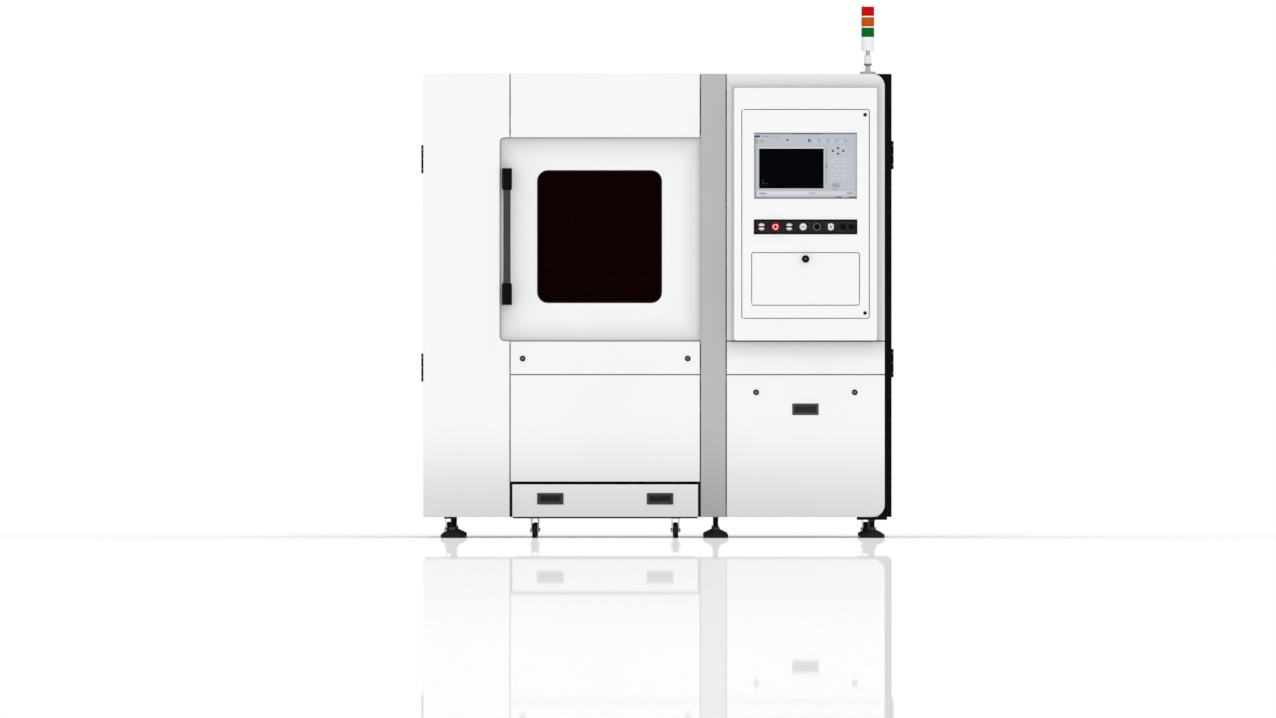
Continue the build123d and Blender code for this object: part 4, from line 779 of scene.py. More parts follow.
# Pale crescents above and below on the red and green crowns: painted highlights
HIGHLIGHT_RADIUS, HIGHLIGHT_REACH, HIGHLIGHT_THICK, HIGHLIGHT_PROUD = 10.4 * MM, 3.4 * MM, 2.2 * MM, 2.3 * MM
HIGHLIGHT_WIDTH_SHARE, HIGHLIGHT_BOW_SHARE = 0.9, 0.25
MARK_OUT, MARK_HALF_WIDTH, MARK_HALF_HEIGHT = 4 * MM, 2 * MM, 3.6 * MM
MARK_PROUD, MARK_THICK = 2.2 * MM, 0.6 * MM
KEY_RING = ((0, 4.2), (0, 9), (0.8, 8.4), (0.8, 6.6), (0.2, 6.2), (0, 4.2))
KEYWAY_HALF_WIDTH, KEYWAY_HALF_HEIGHT, KEYWAY_PROUD, KEYWAY_SINK = 2.6 * MM, 4.5 * MM, 0.2 * MM, 0.4 * MM


def bezel(radius, height):
    """Profile of a button's ring: an upright rim drawn in at the front, and a hole with a chamfer."""
    radii = (BEZEL_HOLE, radius, radius, radius - BEZEL_EDGE, radius - BEZEL_LIP, BEZEL_HOLE + BEZEL_EDGE,
             BEZEL_HOLE, BEZEL_HOLE)
    return np.column_stack([height * np.array(BEZEL_HEIGHT_SHARES), radii])


def crown():
    """Profile of a button's cap: an upright rim, a quarter ellipse drawn in at the front and a flat dome."""
    turn = np.linspace(0, math.pi / 2, 8)
    (along, radius), (rise, draw) = CROWN_ROUND_MIDDLE, CROWN_ROUND_REACH
    shoulder = np.stack([along + rise * np.sin(turn), radius + draw * np.cos(turn)], -1)
    return mm(np.concatenate([CROWN_BASE, shoulder, CROWN_DOME]))


def crescent(x, z, front, way):
    """Lens-shaped pale mark, a painted highlight: across runs along a chord, and height from the chord's bow
    out to a circle.
    """
    share = np.linspace(-1, 1, 17)
    across = HIGHLIGHT_WIDTH_SHARE * HIGHLIGHT_RADIUS * share
    rim = np.sqrt(HIGHLIGHT_RADIUS ** 2 - across ** 2)
    bow = HIGHLIGHT_REACH + HIGHLIGHT_BOW_SHARE * (rim.min() - HIGHLIGHT_REACH) * share ** 2
    outline = np.concatenate([np.stack([across, bow], -1), np.stack([across, rim], -1)[::-1]])
    flat = np.array([x, z]) + way * outline
    return capped(np.stack([np.column_stack([flat[:, 0], np.full(len(flat), depth), flat[:, 1]])
                            for depth in (front + HIGHLIGHT_THICK, front)]))


class CUTTER_OT_controls(Operator):
    """Make the bezels, caps and covers on the button plate"""

    bl_idname = "cutter.controls"
    bl_label = "Operating controls"

    def execute(self, context):
        low, high = edges("button_plate")
        face = low[1]
        self.bezels(face)
        field = rounded_outline(low[0] + PLATE_RIM, high[0] - PLATE_RIM, low[2] + PLATE_RIM,
                                high[2] - PLATE_RIM, PLATE_CORNER)
        piece("plate_field", [plate(*field, face - PLATE_SKIN, PLATE_SKIN, PLATE_EDGE)], "rubber",
              "control_door")
        x, _, z = middle("stop_button")
        collars = [lathe((x, face, z), "-y", mm(STOP_COLLAR))]
        collars += [lathe((high[0] - inset, face, z), "-y", mm(PORT_COVER)) for inset in PORT_COVER_INSETS]
        piece("control_collars", collars, "moulding", "control_door")
        self.caps()
        self.key_switch()
        return {"FINISHED"}

    def bezels(self, face):
        """Rings round the controls, and dark blocks either side of three of them as painted dark reflections
        in the bright rings.
        """
        height = trim().bezel_height
        profile = bezel(trim().bezel_radius, height)
        rings = {node: lathe((x, face, z), "-y", profile)
                 for node, (x, _, z) in zip(BEZEL_NODES, map(middle, BEZEL_NODES))}
        piece("selector_bezel", [rings.pop("selector_knob")], "hub", "control_door")
        piece("button_bezels", list(rings.values()), "bright", "control_door")
        dark_reflections = [(*about(side, DARK_REFLECTION_HALF_WIDTH), face - height - DARK_REFLECTION_PROUD, face,
                    *about(z, DARK_REFLECTION_HALF_HEIGHT))
                   for x, _, z in map(middle, DARK_REFLECTION_NODES) for side in about(x, DARK_REFLECTION_OUT)]
        piece("bezel_painted_reflections", [boxes(dark_reflections)], "moulding", "control_door", bevel=0.5 * MM)

    def caps(self):
        """Crowned faces of the push buttons, pale crescents above and below on the red and green ones as
        painted highlights, and the white one's marks.
        """
        for node, finish, slot in (("red_button", "deep_red", "red_plastic"),
                                   ("green_button", "deep_green", "green_plastic"),
                                   ("white_button", "pale", "white_plastic")):
            x, front, z = front_middle(node)
            piece(f"{node}_crown", [lathe((x, front + CROWN_SINK, z), "-y", crown())], finish, node)
            if finish != "pale":
                # Pale crescents above and below the middle: painted highlights
                painted_highlights = [crescent(x, z, front - HIGHLIGHT_PROUD, way) for way in (-1, 1)]
                piece(f"{node}_windows", painted_highlights, "pale", node)
        x, front, z = front_middle("white_button")
        marks = [(*about(side, MARK_HALF_WIDTH), front - MARK_PROUD, front - MARK_PROUD + MARK_THICK,
                  *about(z, MARK_HALF_HEIGHT)) for side in about(x, MARK_OUT)]
        piece("white_button_marks", [boxes(marks)], "moulding", "white_button",
              bevel=0.3 * MM)

    def key_switch(self):
        """Turned ring of the key switch, and its keyway."""
        x, front, z = front_middle("key_switch")
        piece("key_switch_ring", [lathe((x, front + CROWN_SINK, z), "-y", mm(KEY_RING))], "bright",
              "key_switch")
        keyway = [(*about(x, KEYWAY_HALF_WIDTH), front - KEYWAY_PROUD, front + KEYWAY_SINK,
                   *about(z, KEYWAY_HALF_HEIGHT))]
        piece("key_switch_keyway", [boxes(keyway)], "moulding", "key_switch", bevel=0.3 * MM)


# Panel locks, flap knob and the control panel's turn locks: where their axes lie, and their profiles
LOCK_NODES = ("strip_lock_left", "strip_lock_right", "cabinet_lock_left", "cabinet_lock_right")
LOCK_AXIS = 11 * MM
LOCK_PLUG = ((-0.2, 0), (-0.2, 5.4), (0.7, 5), (0.9, 4.4), (0.9, 0))
LOCK_RIM = ((-0.2, 7.6), (-0.2, 10.6), (0.6, 10.2), (0.9, 9.2), (0.6, 8), (-0.2, 7.6))
LOCK_SLOT_HALF_WIDTH, LOCK_SLOT_HALF_HEIGHT = 0.7 * MM, 3.2 * MM
LOCK_SLOT_FRONT, LOCK_SLOT_BACK = 1.1 * MM, 0.8 * MM
KNOB_CROWN = ((-0.2, 6.8), (-0.2, 13.2), (0.7, 12.6), (1, 11), (0.6, 7.4), (-0.2, 6.8))
KNOB_PLUG = ((-0.2, 0), (-0.2, 5.6), (0.3, 5.4), (0.3, 0))
TURN_LOCK = ((0, 0), (0, 7), (1.6, 7), (2.4, 6), (2.4, 0))
TURN_LOCK_INSET, TURN_LOCK_DROP = 15 * MM, 30 * MM
TURN_SLOT_HALF_WIDTH, TURN_SLOT_HALF_HEIGHT = 4.5 * MM, 0.8 * MM
TURN_SLOT_FRONT, TURN_SLOT_BACK = 2.7 * MM, 2.3 * MM


class CUTTER_OT_locks(Operator):
    """Make the faces of the panel locks, of the flap knob and of the control panel's turn locks"""

    bl_idname = "cutter.locks"
    bl_label = "Locks and knob"

    def execute(self, context):
        for node in LOCK_NODES:
            low, high = edges(node)
            x, y, z = low[0] + LOCK_AXIS, low[1], (low[2] + high[2]) / 2
            rim = lathe((x, y, z), "-y", mm(LOCK_RIM), count=40)
            plug = lathe((x, y, z), "-y", mm(LOCK_PLUG), count=32)
            piece(f"{node}_rim", [rim], "moulding", node)
            piece(f"{node}_plug", [plug], "hub", node)
            slot = [(*about(x, LOCK_SLOT_HALF_WIDTH), y - LOCK_SLOT_FRONT, y - LOCK_SLOT_BACK,
                     *about(z, LOCK_SLOT_HALF_HEIGHT))]
            piece(f"{node}_keyway", [boxes(slot)], "moulding", node)
        crown, plug = (lathe(front_middle("flap_knob"), "-y", mm(rows)) for rows in (KNOB_CROWN, KNOB_PLUG))
        piece("flap_knob_crown", [crown], "moulding", "flap_knob")
        piece("flap_knob_plug", [plug], "pull", "flap_knob")
        self.turn_locks()
        return {"FINISHED"}

    def turn_locks(self):
        """Two slotted heads down the right side of the control panel."""
        low, high = edges("control_panel")
        x, face = high[0] - TURN_LOCK_INSET, low[1]
        heights = (high[2] - TURN_LOCK_DROP, low[2] + TURN_LOCK_DROP)
        heads = [lathe((x, face, z), "-y", mm(TURN_LOCK), count=32) for z in heights]
        slots = [(*about(x, TURN_SLOT_HALF_WIDTH), face - TURN_SLOT_FRONT, face - TURN_SLOT_BACK,
                  *about(z, TURN_SLOT_HALF_HEIGHT)) for z in heights]
        piece("panel_turn_locks", heads, "moulding", "control_door")
        piece("panel_turn_lock_slots", [boxes(slots)], "pull", "control_door")


# Door: the pane's lap behind the leaf and its corner, and the gasket's lip as shares of its width outwards
# with their places behind the leaf's front
PANE_LAP, PANE_CORNER = 16 * MM, 43 * MM
LIP_SHARES, LIP_BACK = (0, 0, -0.3, -0.8, -1, -1), mm((2, 0.2, -0.4, 0.4, 1.8, 2))

# Door bay: the edging's rows are (outwards, back) in millimetres, behind the panel by its setback
EDGING_SETBACK = 7 * MM
EDGING_LIP = ((0, 8), (-2.3, 8), (-2.3, 0.6), (-1.6, 0), (-0.5, 0), (0, 0.6))

# Handle: collars where the grip enters its mounts, and the mounts' screws
HANDLE_COLLAR = ((0, 14.2), (0, 18), (3, 18), (5, 16.2), (5, 14.2), (0, 14.2))
COLLAR_INSET, HANDLE_SCREW_INSET, HANDLE_SCREW_SINK = 80 * MM, 25 * MM, 1.2 * MM
HANDLE_SCREW_RADIUS, HANDLE_SCREW_HEIGHT = 5 * MM, 2 * MM

# Pulls: width of the rim, lining as (outwards, back) rows in millimetres, and the floor of the recess, darker
# than the lining as painted shade
PULL_RIM, PULL_CORNER = 7.3 * MM, 2 * MM
PULL_LINING = ((0, 14), (0, 0.8), (-0.8, 0.4), (-8, 12), (-8, 14))
PULL_FLOOR_HALF_WIDTH, PULL_FLOOR_HALF_HEIGHT = 37 * MM, 8 * MM
PULL_FLOOR_FRONT, PULL_FLOOR_BACK = 12.5 * MM, 14 * MM

# Cart: rubber sill under its front, and the dark cheeks of its bay behind the gaps at its sides, both black
# as painted shade
SILL_INSET, SILL_DEPTH, SILL_DROP, SILL_HEIGHT = 1 * MM, 18 * MM, 0.5 * MM, 5.5 * MM
CHEEK_SETBACK, CHEEK_THICK, CHEEK_OUT, CHEEK_IN = 20.5 * MM, 3 * MM, 5 * MM, 10 * MM


class CUTTER_OT_door(Operator):
    """Make the door's gasket and handle fittings, the edging of its bay, the pulls and the cart's sill"""

    bl_idname = "cutter.door"
    bl_label = "Door, cart and pulls"

    def execute(self, context):
        low, high = edges("door_window")
        face = edges("door_leaf")[0][1]
        outline, outward = rounded_outline(low[0] + PANE_LAP, high[0] - PANE_LAP, low[2] + PANE_LAP,
                                           high[2] - PANE_LAP, PANE_CORNER, steps=14)
        lip = np.column_stack([trim().gasket_width * np.array(LIP_SHARES), face + LIP_BACK])
        piece("pane_gasket", [frame_strip(outline, outward, lip)], "rubber", "sliding_door")
        self.bay()
        self.handle()
        self.pulls()
        self.cart()
        return {"FINISHED"}

    def bay(self):
        """Edging on the front of the bay's lining, along its top, its rounded left side and its bottom."""
        (left, right), (foot, top) = bay_front()
        steps = 10
        turns = slice(steps, 3 * steps)
        outline, outward = rounded_outline(left, right, foot, top, BAY_RADIUS, steps)
        path = np.concatenate([[[right, top]], outline[turns], [[right, foot]]])
        ways = np.concatenate([[[0, 1]], outward[turns], [[0, -1]]])
        front = edges("left_front_panel")[0][1] + EDGING_SETBACK
        piece("bay_edging", [edging(path, ways, mm(EDGING_LIP) + (0, front))], "hub", FRAME_BODY)

    def handle(self):
        """Collars where the grip enters its mounts, and the mounts' screws."""
        low, high = edges("door_handle_mounts")
        x, y = middle("door_handle_grip")[:2]
        ends = [lathe((x, y, low[2] + COLLAR_INSET), "z", mm(HANDLE_COLLAR)),
                lathe((x, y, high[2] - COLLAR_INSET), "-z", mm(HANDLE_COLLAR))]
        piece("handle_collars", ends, "moulding", "sliding_door")
        front = low[1] + HANDLE_SCREW_SINK
        places = [(x, front, z) for z in (low[2] + HANDLE_SCREW_INSET, high[2] - HANDLE_SCREW_INSET)]
        piece("handle_screws", screws(places, "-y", HANDLE_SCREW_RADIUS, HANDLE_SCREW_HEIGHT), "moulding",
              "sliding_door")

    def pulls(self):
        """Sloped lining and floor inside each recessed pull; the floor's dark colour is painted shade."""
        low, high = edges("cabinet_pull")
        half_width, _, half_height = (high - low) / 2
        low, high = edges("cart_pulls")
        _, front, z = front_middle("cart_pulls")
        places = [("scrap_cart", (x, front, z)) for x in (low[0] + half_width, high[0] - half_width)]
        places.append(("cabinet_panel", front_middle("cabinet_pull")))
        for number, (body, (x, front, z)) in enumerate(places):
            outline, outward = rounded_outline(*about(x, half_width - PULL_RIM),
                                               *about(z, half_height - PULL_RIM), PULL_CORNER, steps=5)
            lining = frame_strip(outline, outward, mm(PULL_LINING) + (0, front))
            piece(f"pull_lining_{number}", [lining], "pull", body)
            floor = [(*about(x, PULL_FLOOR_HALF_WIDTH), front + PULL_FLOOR_FRONT, front + PULL_FLOOR_BACK,
                      *about(z, PULL_FLOOR_HALF_HEIGHT))]
            piece(f"pull_floor_{number}", [boxes(floor)], "recess", body)

    def cart(self):
        """Rubber sill under the cart's front, and the cheeks of its bay, black as painted shade under the
        cart and in the gaps at its sides.
        """
        low, high = edges("cart_bin")
        base = low[2] - SILL_DROP
        sill = [(low[0] + SILL_INSET, high[0] - SILL_INSET, low[1] + SILL_INSET,
                 low[1] + SILL_INSET + SILL_DEPTH, base, base + SILL_HEIGHT)]
        # Black sill and cheeks: painted shade under the cart and in its side gaps
        piece("cart_shade_sill", [boxes(sill)], "rubber", "scrap_cart", bevel=0.6 * MM)
        back = low[1] + CHEEK_SETBACK
        panel_low, panel_high = edges("lower_front_panel")
        rest = (back, back + CHEEK_THICK, body_foot(), panel_low[2])
        cheeks = [(panel_low[0] - CHEEK_OUT, panel_low[0] + CHEEK_IN, *rest),
                  (panel_high[0] - CHEEK_IN, panel_high[0] + CHEEK_OUT, *rest)]
        piece("cart_bay_shade_cheeks", [boxes(cheeks)], "rubber", FRAME_BODY, bevel=0.5 * MM)


# Casters: places and sizes of the axle bolts from the wheel's middle, and the section of wheel, tyre and hub
BOLT_OUT, BOLT_RADIUS, BOLT_HEIGHT = 14.5 * MM, 6.5 * MM, 4 * MM
BOLT_END = ((0, 0), (0, 3.4), (1.2, 3), (1.2, 0))
WHEEL_RADIUS, WHEEL_HALF_WIDTH, TYRE_SHOULDER = 28 * MM, 10 * MM, 4 * MM
HUB_BORE, HUB_BOSS, HUB_NECK = 4.1 * MM, 7 * MM, 8 * MM
HUB_RIM, HUB_EDGE, HUB_WEB, HUB_CHAMFER = 2.5 * MM, 0.6 * MM, 3.5 * MM, 1 * MM


class CUTTER_OT_casters(Operator):
    """Make the wheels with tyre and hub, and the axle bolts"""

    bl_idname = "cutter.casters"
    bl_label = "Casters"

    def execute(self, context):
        bolts = {"scrap_cart": [], FRAME_BODY: []}
        for node in sorted(name for name in frame["nodes"] if "_wheel_" in name):
            x, y, z = middle(node)
            self.wheel(node, (x, y, z))
            body = "scrap_cart" if node.startswith("cart") else FRAME_BODY
            for axis, way in (("x", 1), ("-x", -1)):
                head, end = x + way * BOLT_OUT, x + way * (BOLT_OUT + BOLT_HEIGHT)
                bolts[body] += [lathe((head, y, z), axis, nut(BOLT_RADIUS, BOLT_HEIGHT), count=6),
                                lathe((end, y, z), axis, mm(BOLT_END), count=20)]
        for body, shells in bolts.items():
            piece(f"{body}_axle_bolts", shells, "zinc", body, crease=20)
        return {"FINISHED"}

    def wheel(self, node, centre):
        """Tyre with quarter-circle shoulders, and a dished hub inside it."""
        turn = np.linspace(0, math.pi / 2, 6)
        half = WHEEL_HALF_WIDTH
        right = (half, WHEEL_RADIUS) - TYRE_SHOULDER * (1 - np.stack([np.sin(turn), np.cos(turn)], -1))
        left = right[::-1] * (-1, 1)
        seat = WHEEL_RADIUS - trim().tyre_depth
        tyre = np.concatenate([[(-half, seat)], left, right, [(half, seat), (-half, seat)]])
        piece(f"{node}_tyre", [lathe(centre, "x", tyre, count=64)], "rubber", node,
              replaces=(node,))
        rim, lip = seat - HUB_RIM, half - HUB_EDGE
        side = np.array([(half, HUB_BORE), (half, HUB_BOSS), (HUB_WEB, HUB_NECK),
                         (HUB_WEB, rim - HUB_CHAMFER), (lip, rim), (lip, seat)])
        hub = np.concatenate([side * (-1, 1), side[::-1], [(-half, HUB_BORE)]])
        piece(f"{node}_hub", [lathe(centre, "x", hub, count=56)], "hub", node)


# Levelling feet: middle one from the cabinet's side, pad as (along, radius) rows in millimetres, stud, nuts
MIDDLE_FOOT_INSET, PAD_RADIUS = 6 * MM, 48 * MM
PAD_RIM = ((0, 0), (0, 45.5), (2, 48), (11.5, 48), (13.5, 47))
PAD_CONE_START, PAD_CONE_REACH, PAD_CONE_POWER = (15, 46), (15, -31), 1.05
PAD_NECK = ((32, 13), (32, 0))
STUD_START, STUD_THREAD, STUD_ROOT, STUD_CREST = 38 * MM, 39 * MM, 8.2 * MM, 9.2 * MM
LOCK_NUT_FOOT, LOCK_NUT_RADIUS, LOCK_NUT_HEIGHT = 31 * MM, 14.5 * MM, 11 * MM
TOP_NUT_RADIUS, TOP_NUT_HEIGHT = 11 * MM, 5 * MM

# Plates under the corners: width and depth of the right one, width and thickness of the left one, and how far
# their skins stand off
RIGHT_PLATE, LEFT_PLATE, PLATE_STAND = (117 * MM, 80 * MM), (44 * MM, 8 * MM), 0.4 * MM


class CUTTER_OT_feet(Operator):
    """Make the levelling feet: coned pad, threaded stud and lock nuts, and the plates under the corners"""

    bl_idname = "cutter.feet"
    bl_label = "Levelling feet"

    def execute(self, context):
        low, high = edges("levelling_feet")
        inner = edges("cabinet_shell")[0][0] + MIDDLE_FOOT_INSET
        columns = (low[0] + PAD_RADIUS, inner, high[0] - PAD_RADIUS)
        rows = (low[1] + PAD_RADIUS, high[1] - PAD_RADIUS)
        plate_foot = edges("welded_frame")[0][2]
        pads, studs, nuts = [], [], []
        for y in rows:
            for x in columns:
                top = plate_foot if (x, y) == (columns[2], rows[0]) else body_foot()
                pads.append(lathe((x, y, 0), "z", self.pad(), count=72))
                studs.append(lathe((x, y, 0), "z", self.stud(top), count=32))
                for z, radius, height in ((LOCK_NUT_FOOT, LOCK_NUT_RADIUS, LOCK_NUT_HEIGHT),
                                          (top - TOP_NUT_HEIGHT, TOP_NUT_RADIUS, TOP_NUT_HEIGHT)):
                    nuts.append(lathe((x, y, z), "z", nut(radius, height), count=6))
        piece("foot_pads", pads, "rubber", FRAME_BODY, replaces=("levelling_feet",))
        piece("foot_studs", studs, "dark_alloy", FRAME_BODY)
        piece("foot_nuts", nuts, "dark_alloy", FRAME_BODY, crease=20)
        self.plates()
        return {"FINISHED"}

    def pad(self):
        """Profile of the pad: rounded rim, full-sided cone as a power of its height, and a short neck."""
        share = np.linspace(0, 1, 10)
        (along, radius), (rise, draw) = PAD_CONE_START, PAD_CONE_REACH
        cone = np.stack([along + rise * share, radius + draw * share ** PAD_CONE_POWER], -1)
        return mm(np.concatenate([PAD_RIM, cone, PAD_NECK]))

    def stud(self, top):
        """Profile of the stud: a saw-tooth of the thread's pitch from the pad up to the machine."""
        pitch = trim().thread_pitch
        count = int((top - STUD_THREAD) / pitch)
        steps = STUD_THREAD + pitch * np.arange(count + 1)
        wall = np.stack([np.stack([steps, np.full(count + 1, STUD_ROOT)], -1),
                         np.stack([steps + pitch / 2, np.full(count + 1, STUD_CREST)], -1)], 1).reshape(-1, 2)
        wall = wall[wall[:, 0] < top - pitch / 4]
        return [(STUD_START, 0)] + wall.tolist() + [(top, STUD_ROOT), (top, 0)]

    def plates(self):
        """Skins over the plate above the right front foot and over the left caster's plate."""
        low, high = edges("welded_frame")
        (wide, deep), (span, thick) = RIGHT_PLATE, LEFT_PLATE
        fork_low, fork_high = edges("transport_caster_forks")
        skins = [(high[0] - wide - PLATE_STAND, high[0] + PLATE_STAND, low[1] - PLATE_STAND,
                  low[1] + deep + PLATE_STAND, low[2] - PLATE_STAND, body_foot()),
                 (fork_low[0] - PLATE_STAND, fork_low[0] + span + PLATE_STAND, fork_low[1] - PLATE_STAND,
                  fork_high[1] + PLATE_STAND, body_foot() - thick, body_foot())]
        piece("corner_plates", [boxes(skins)], "black", FRAME_BODY, bevel=0.8 * MM)


# Signal tower: profiles as (along, radius) rows in millimetres, the lens edge as (along, change of radius)
LENS_DIP, LENS_EDGE = 0.45 * MM, ((0, -1), (0.8, -0.3), (2, 0))
COLLAR_NUT = ((0, 12), (0, 14.4), (1, 15), (7, 15), (8, 14.4), (8, 12))
COLLAR_NUT_FOOT, COLLAR_NUT_DIP, COLLAR_NUT_FLUTES = 33 * MM, 0.7 * MM, 24
TOWER_FOOT = ((0, 0), (0, 30.3), (8.7, 30.3), (9.3, 29.6), (9.3, 11.5), (32.8, 8.9), (32.8, 0))
TOWER_NECK = ((72.2, 0), (72.2, 9), (90.8, 8.8), (90.8, 0))
FLANGE_SCREW_CIRCLE, FLANGE_TOP = 23 * MM, 9 * MM
FLANGE_SCREW_RADIUS, FLANGE_SCREW_HEIGHT = 3.5 * MM, 2 * MM


class CUTTER_OT_tower(Operator):
    """Make the fluted lenses, the collar nut, and the foot and neck of the signal tower"""

    bl_idname = "cutter.tower"
    bl_label = "Signal tower"

    def execute(self, context):
        for tint in ("green", "amber", "red"):
            self.lens(tint)
        x, y = middle("tower_stand")[:2]
        foot = edges("tower_stand")[0][2]
        knurl = fluted((x, y, foot + COLLAR_NUT_FOOT), *mm(COLLAR_NUT).T, COLLAR_NUT_DIP, COLLAR_NUT_FLUTES)
        piece("tower_collar_nut", [knurl], "hub", FRAME_BODY)
        # Foot and neck in grey: partly the moulding's own colour, partly painted shade under the lenses and
        # on the flange
        piece("tower_foot", [lathe((x, y, foot), "z", mm(profile)) for profile in (TOWER_FOOT, TOWER_NECK)],
              "silver", FRAME_BODY)
        places = [(x + FLANGE_SCREW_CIRCLE * math.cos(a), y + FLANGE_SCREW_CIRCLE * math.sin(a),
                   foot + FLANGE_TOP) for a in np.radians((45, 135, 225, 315))]
        piece("tower_flange_screws", screws(places, "z", FLANGE_SCREW_RADIUS, FLANGE_SCREW_HEIGHT), "zinc",
              FRAME_BODY)
        return {"FINISHED"}

    def lens(self, tint):
        """Fluted skin of one lens, drawn in at its top and bottom edge."""
        node = f"tower_lens_{tint}"
        low, high = edges(node)
        x, y = middle(node)[:2]
        tall, radius = high[2] - low[2], (high[0] - low[0]) / 2
        rise, draw = mm(LENS_EDGE).T
        heights = np.concatenate([[0], rise, tall - rise[::-1], [tall]])
        radii = np.concatenate([[0], radius + draw, radius + draw[::-1], [0]])
        shell = fluted((x, y, low[2]), heights, radii, LENS_DIP, trim().lens_flutes)
        piece(f"{node}_fluted", [shell], tint, FRAME_BODY, replaces=(node,))


# Side hinges: their heights in millimetres, and their screws up, across and off the face
HINGE_HEIGHTS = {"left_door": (1478, 665), "right_door": (1494, 682)}
HINGE_SCREW_STEPS, HINGE_SCREW_OUT, HINGE_FACE_INSET = (-38, 0, 38), 24 * MM, 4 * MM
HINGE_SCREW_RADIUS, HINGE_SCREW_HEIGHT = 4 * MM, 2 * MM

# Sheet screws: columns across the machine, rows up the back and along the roof, and their gap to the collar
SHEET_COLUMNS = mm((-885, -350, 200, 245, 560, 885))
WALL_ROWS, ROOF_ROWS = mm(np.linspace(120, 1770, 9)), mm(np.linspace(-560, 640, 7))
COLLAR_CLEAR, ROOF_SCREW_HEIGHT = 110 * MM, 0.5 * MM


class CUTTER_OT_hinges(Operator):
    """Make the screws of the side hinges and of the rear and roof sheets"""

    bl_idname = "cutter.hinges"
    bl_label = "Hinge and sheet screws"

    def execute(self, context):
        seam = edges("left_front_panel")[1][1] + HALF_SEAM
        low, high = edges("side_hinge_bases")
        groups = {FRAME_BODY: [], "left_door": [], "right_door": []}
        for axis, face, door in (("-x", low[0] + HINGE_FACE_INSET, "left_door"),
                                 ("x", high[0] - HINGE_FACE_INSET, "right_door")):
            heights = [(z + step) * MM for z in HINGE_HEIGHTS[door] for step in HINGE_SCREW_STEPS]
            for body, way in ((FRAME_BODY, -1), (door, 1)):
                places = [(face, seam + way * HINGE_SCREW_OUT, z) for z in heights]
                groups[body] += screws(places, axis, HINGE_SCREW_RADIUS, HINGE_SCREW_HEIGHT)
        for body, shells in groups.items():
            piece(f"{body}_hinge_screws", shells, "zinc", body)
        self.sheets()
        return {"FINISHED"}

    def sheets(self):
        """Rows of screws that hold the rear walls and the roofs, clear of the exhaust collar."""
        _, back, roof = edges("cabinet_shell")[1]
        mounts = {mount["name"]: mount["pos_m"] for mount in frame["record"]["mounts"]}
        collar_x, _, collar_z = mounts["exhaust_collar"]
        walls = [(x, back, z) for x in SHEET_COLUMNS for z in WALL_ROWS
                 if math.hypot(x - collar_x, z - collar_z) > COLLAR_CLEAR]
        roofs = [(x, y, roof) for x in SHEET_COLUMNS for y in ROOF_ROWS]
        heads = screws(walls, "y") + screws(roofs, "z", height=ROOF_SCREW_HEIGHT)
        piece("sheet_screws", heads, "zinc", FRAME_BODY)


# Bed: rails from its sides and ends, ground skin over them, bolt plugs and rubber stops
RAIL_INSET, RAIL_END, RAIL_HALF_WIDTH = 60 * MM, 30 * MM, 10.1 * MM
RAIL_SKIN_DOWN, RAIL_SKIN_UP = 17 * MM, 0.1 * MM
RAIL_PLUG = ((0, 0), (0, 4.5), (0.16, 4.2), (0.16, 0))
PLUG_START, PLUG_PITCH = 30 * MM, 60 * MM
STOP_OUT, STOP_HALF_WIDTH, STOP_HALF_LENGTH = 12 * MM, 16 * MM, 8 * MM
STOP_DOWN, STOP_UP = 18 * MM, 14 * MM


class CUTTER_OT_bed(Operator):
    """Make the ground faces of the rails, their bolt plugs and the stops of the bed"""

    bl_idname = "cutter.bed"
    bl_label = "Bed and rails"

    def execute(self, context):
        low, high = edges("machine_bed")
        start, end, top = low[1] + RAIL_END, high[1] - RAIL_END, high[2]
        faces, plugs, stops = [], [], []
        for x in (low[0] + RAIL_INSET, high[0] - RAIL_INSET):
            faces.append((*about(x, RAIL_HALF_WIDTH), start, end, top - RAIL_SKIN_DOWN, top + RAIL_SKIN_UP))
            plugs += [lathe((x, y, top), "z", mm(RAIL_PLUG), count=20)
                      for y in np.arange(start + PLUG_START, end, PLUG_PITCH)]
            stops += [(*about(x, STOP_HALF_WIDTH), *about(y, STOP_HALF_LENGTH), top - STOP_DOWN,
                       top + STOP_UP) for y in (start - STOP_OUT, end + STOP_OUT)]
        piece("rail_faces", [boxes(faces)], "rail", FRAME_BODY)
        piece("rail_plugs", plugs, "zinc", FRAME_BODY)
        piece("rail_stops", [boxes(stops)], "rubber", FRAME_BODY, bevel=1.5 * MM)
        return {"FINISHED"}


# Gantry beam: its height, its faces from the front and the back of the gantry, and what is fixed to it
BEAM_HEIGHT, BEAM_FRONT, BEAM_BACK = 140 * MM, 20 * MM, 26 * MM
MAGNET_PITCH, MAGNET_GAP, MAGNET_END = 36 * MM, 2 * MM, 30 * MM
MAGNET_PROUD, MAGNET_HALF_HEIGHT = 6 * MM, 12 * MM
CROSS_RAIL_OUT, CROSS_RAIL_END, CROSS_RAIL_HALF_HEIGHT = 40 * MM, 20 * MM, 8.1 * MM
CROSS_RAIL_FRONT, CROSS_RAIL_BACK = 12.1 * MM, 1 * MM
END_CAP_THICK, END_CAP_INSET = 4 * MM, 6 * MM
TRAY_END, TRAY_FRONT, TRAY_BACK = 40 * MM, 103 * MM, 40 * MM
TRAY_HEIGHT, TRAY_WALL, TRAY_FLOOR = 34 * MM, 3 * MM, 2 * MM

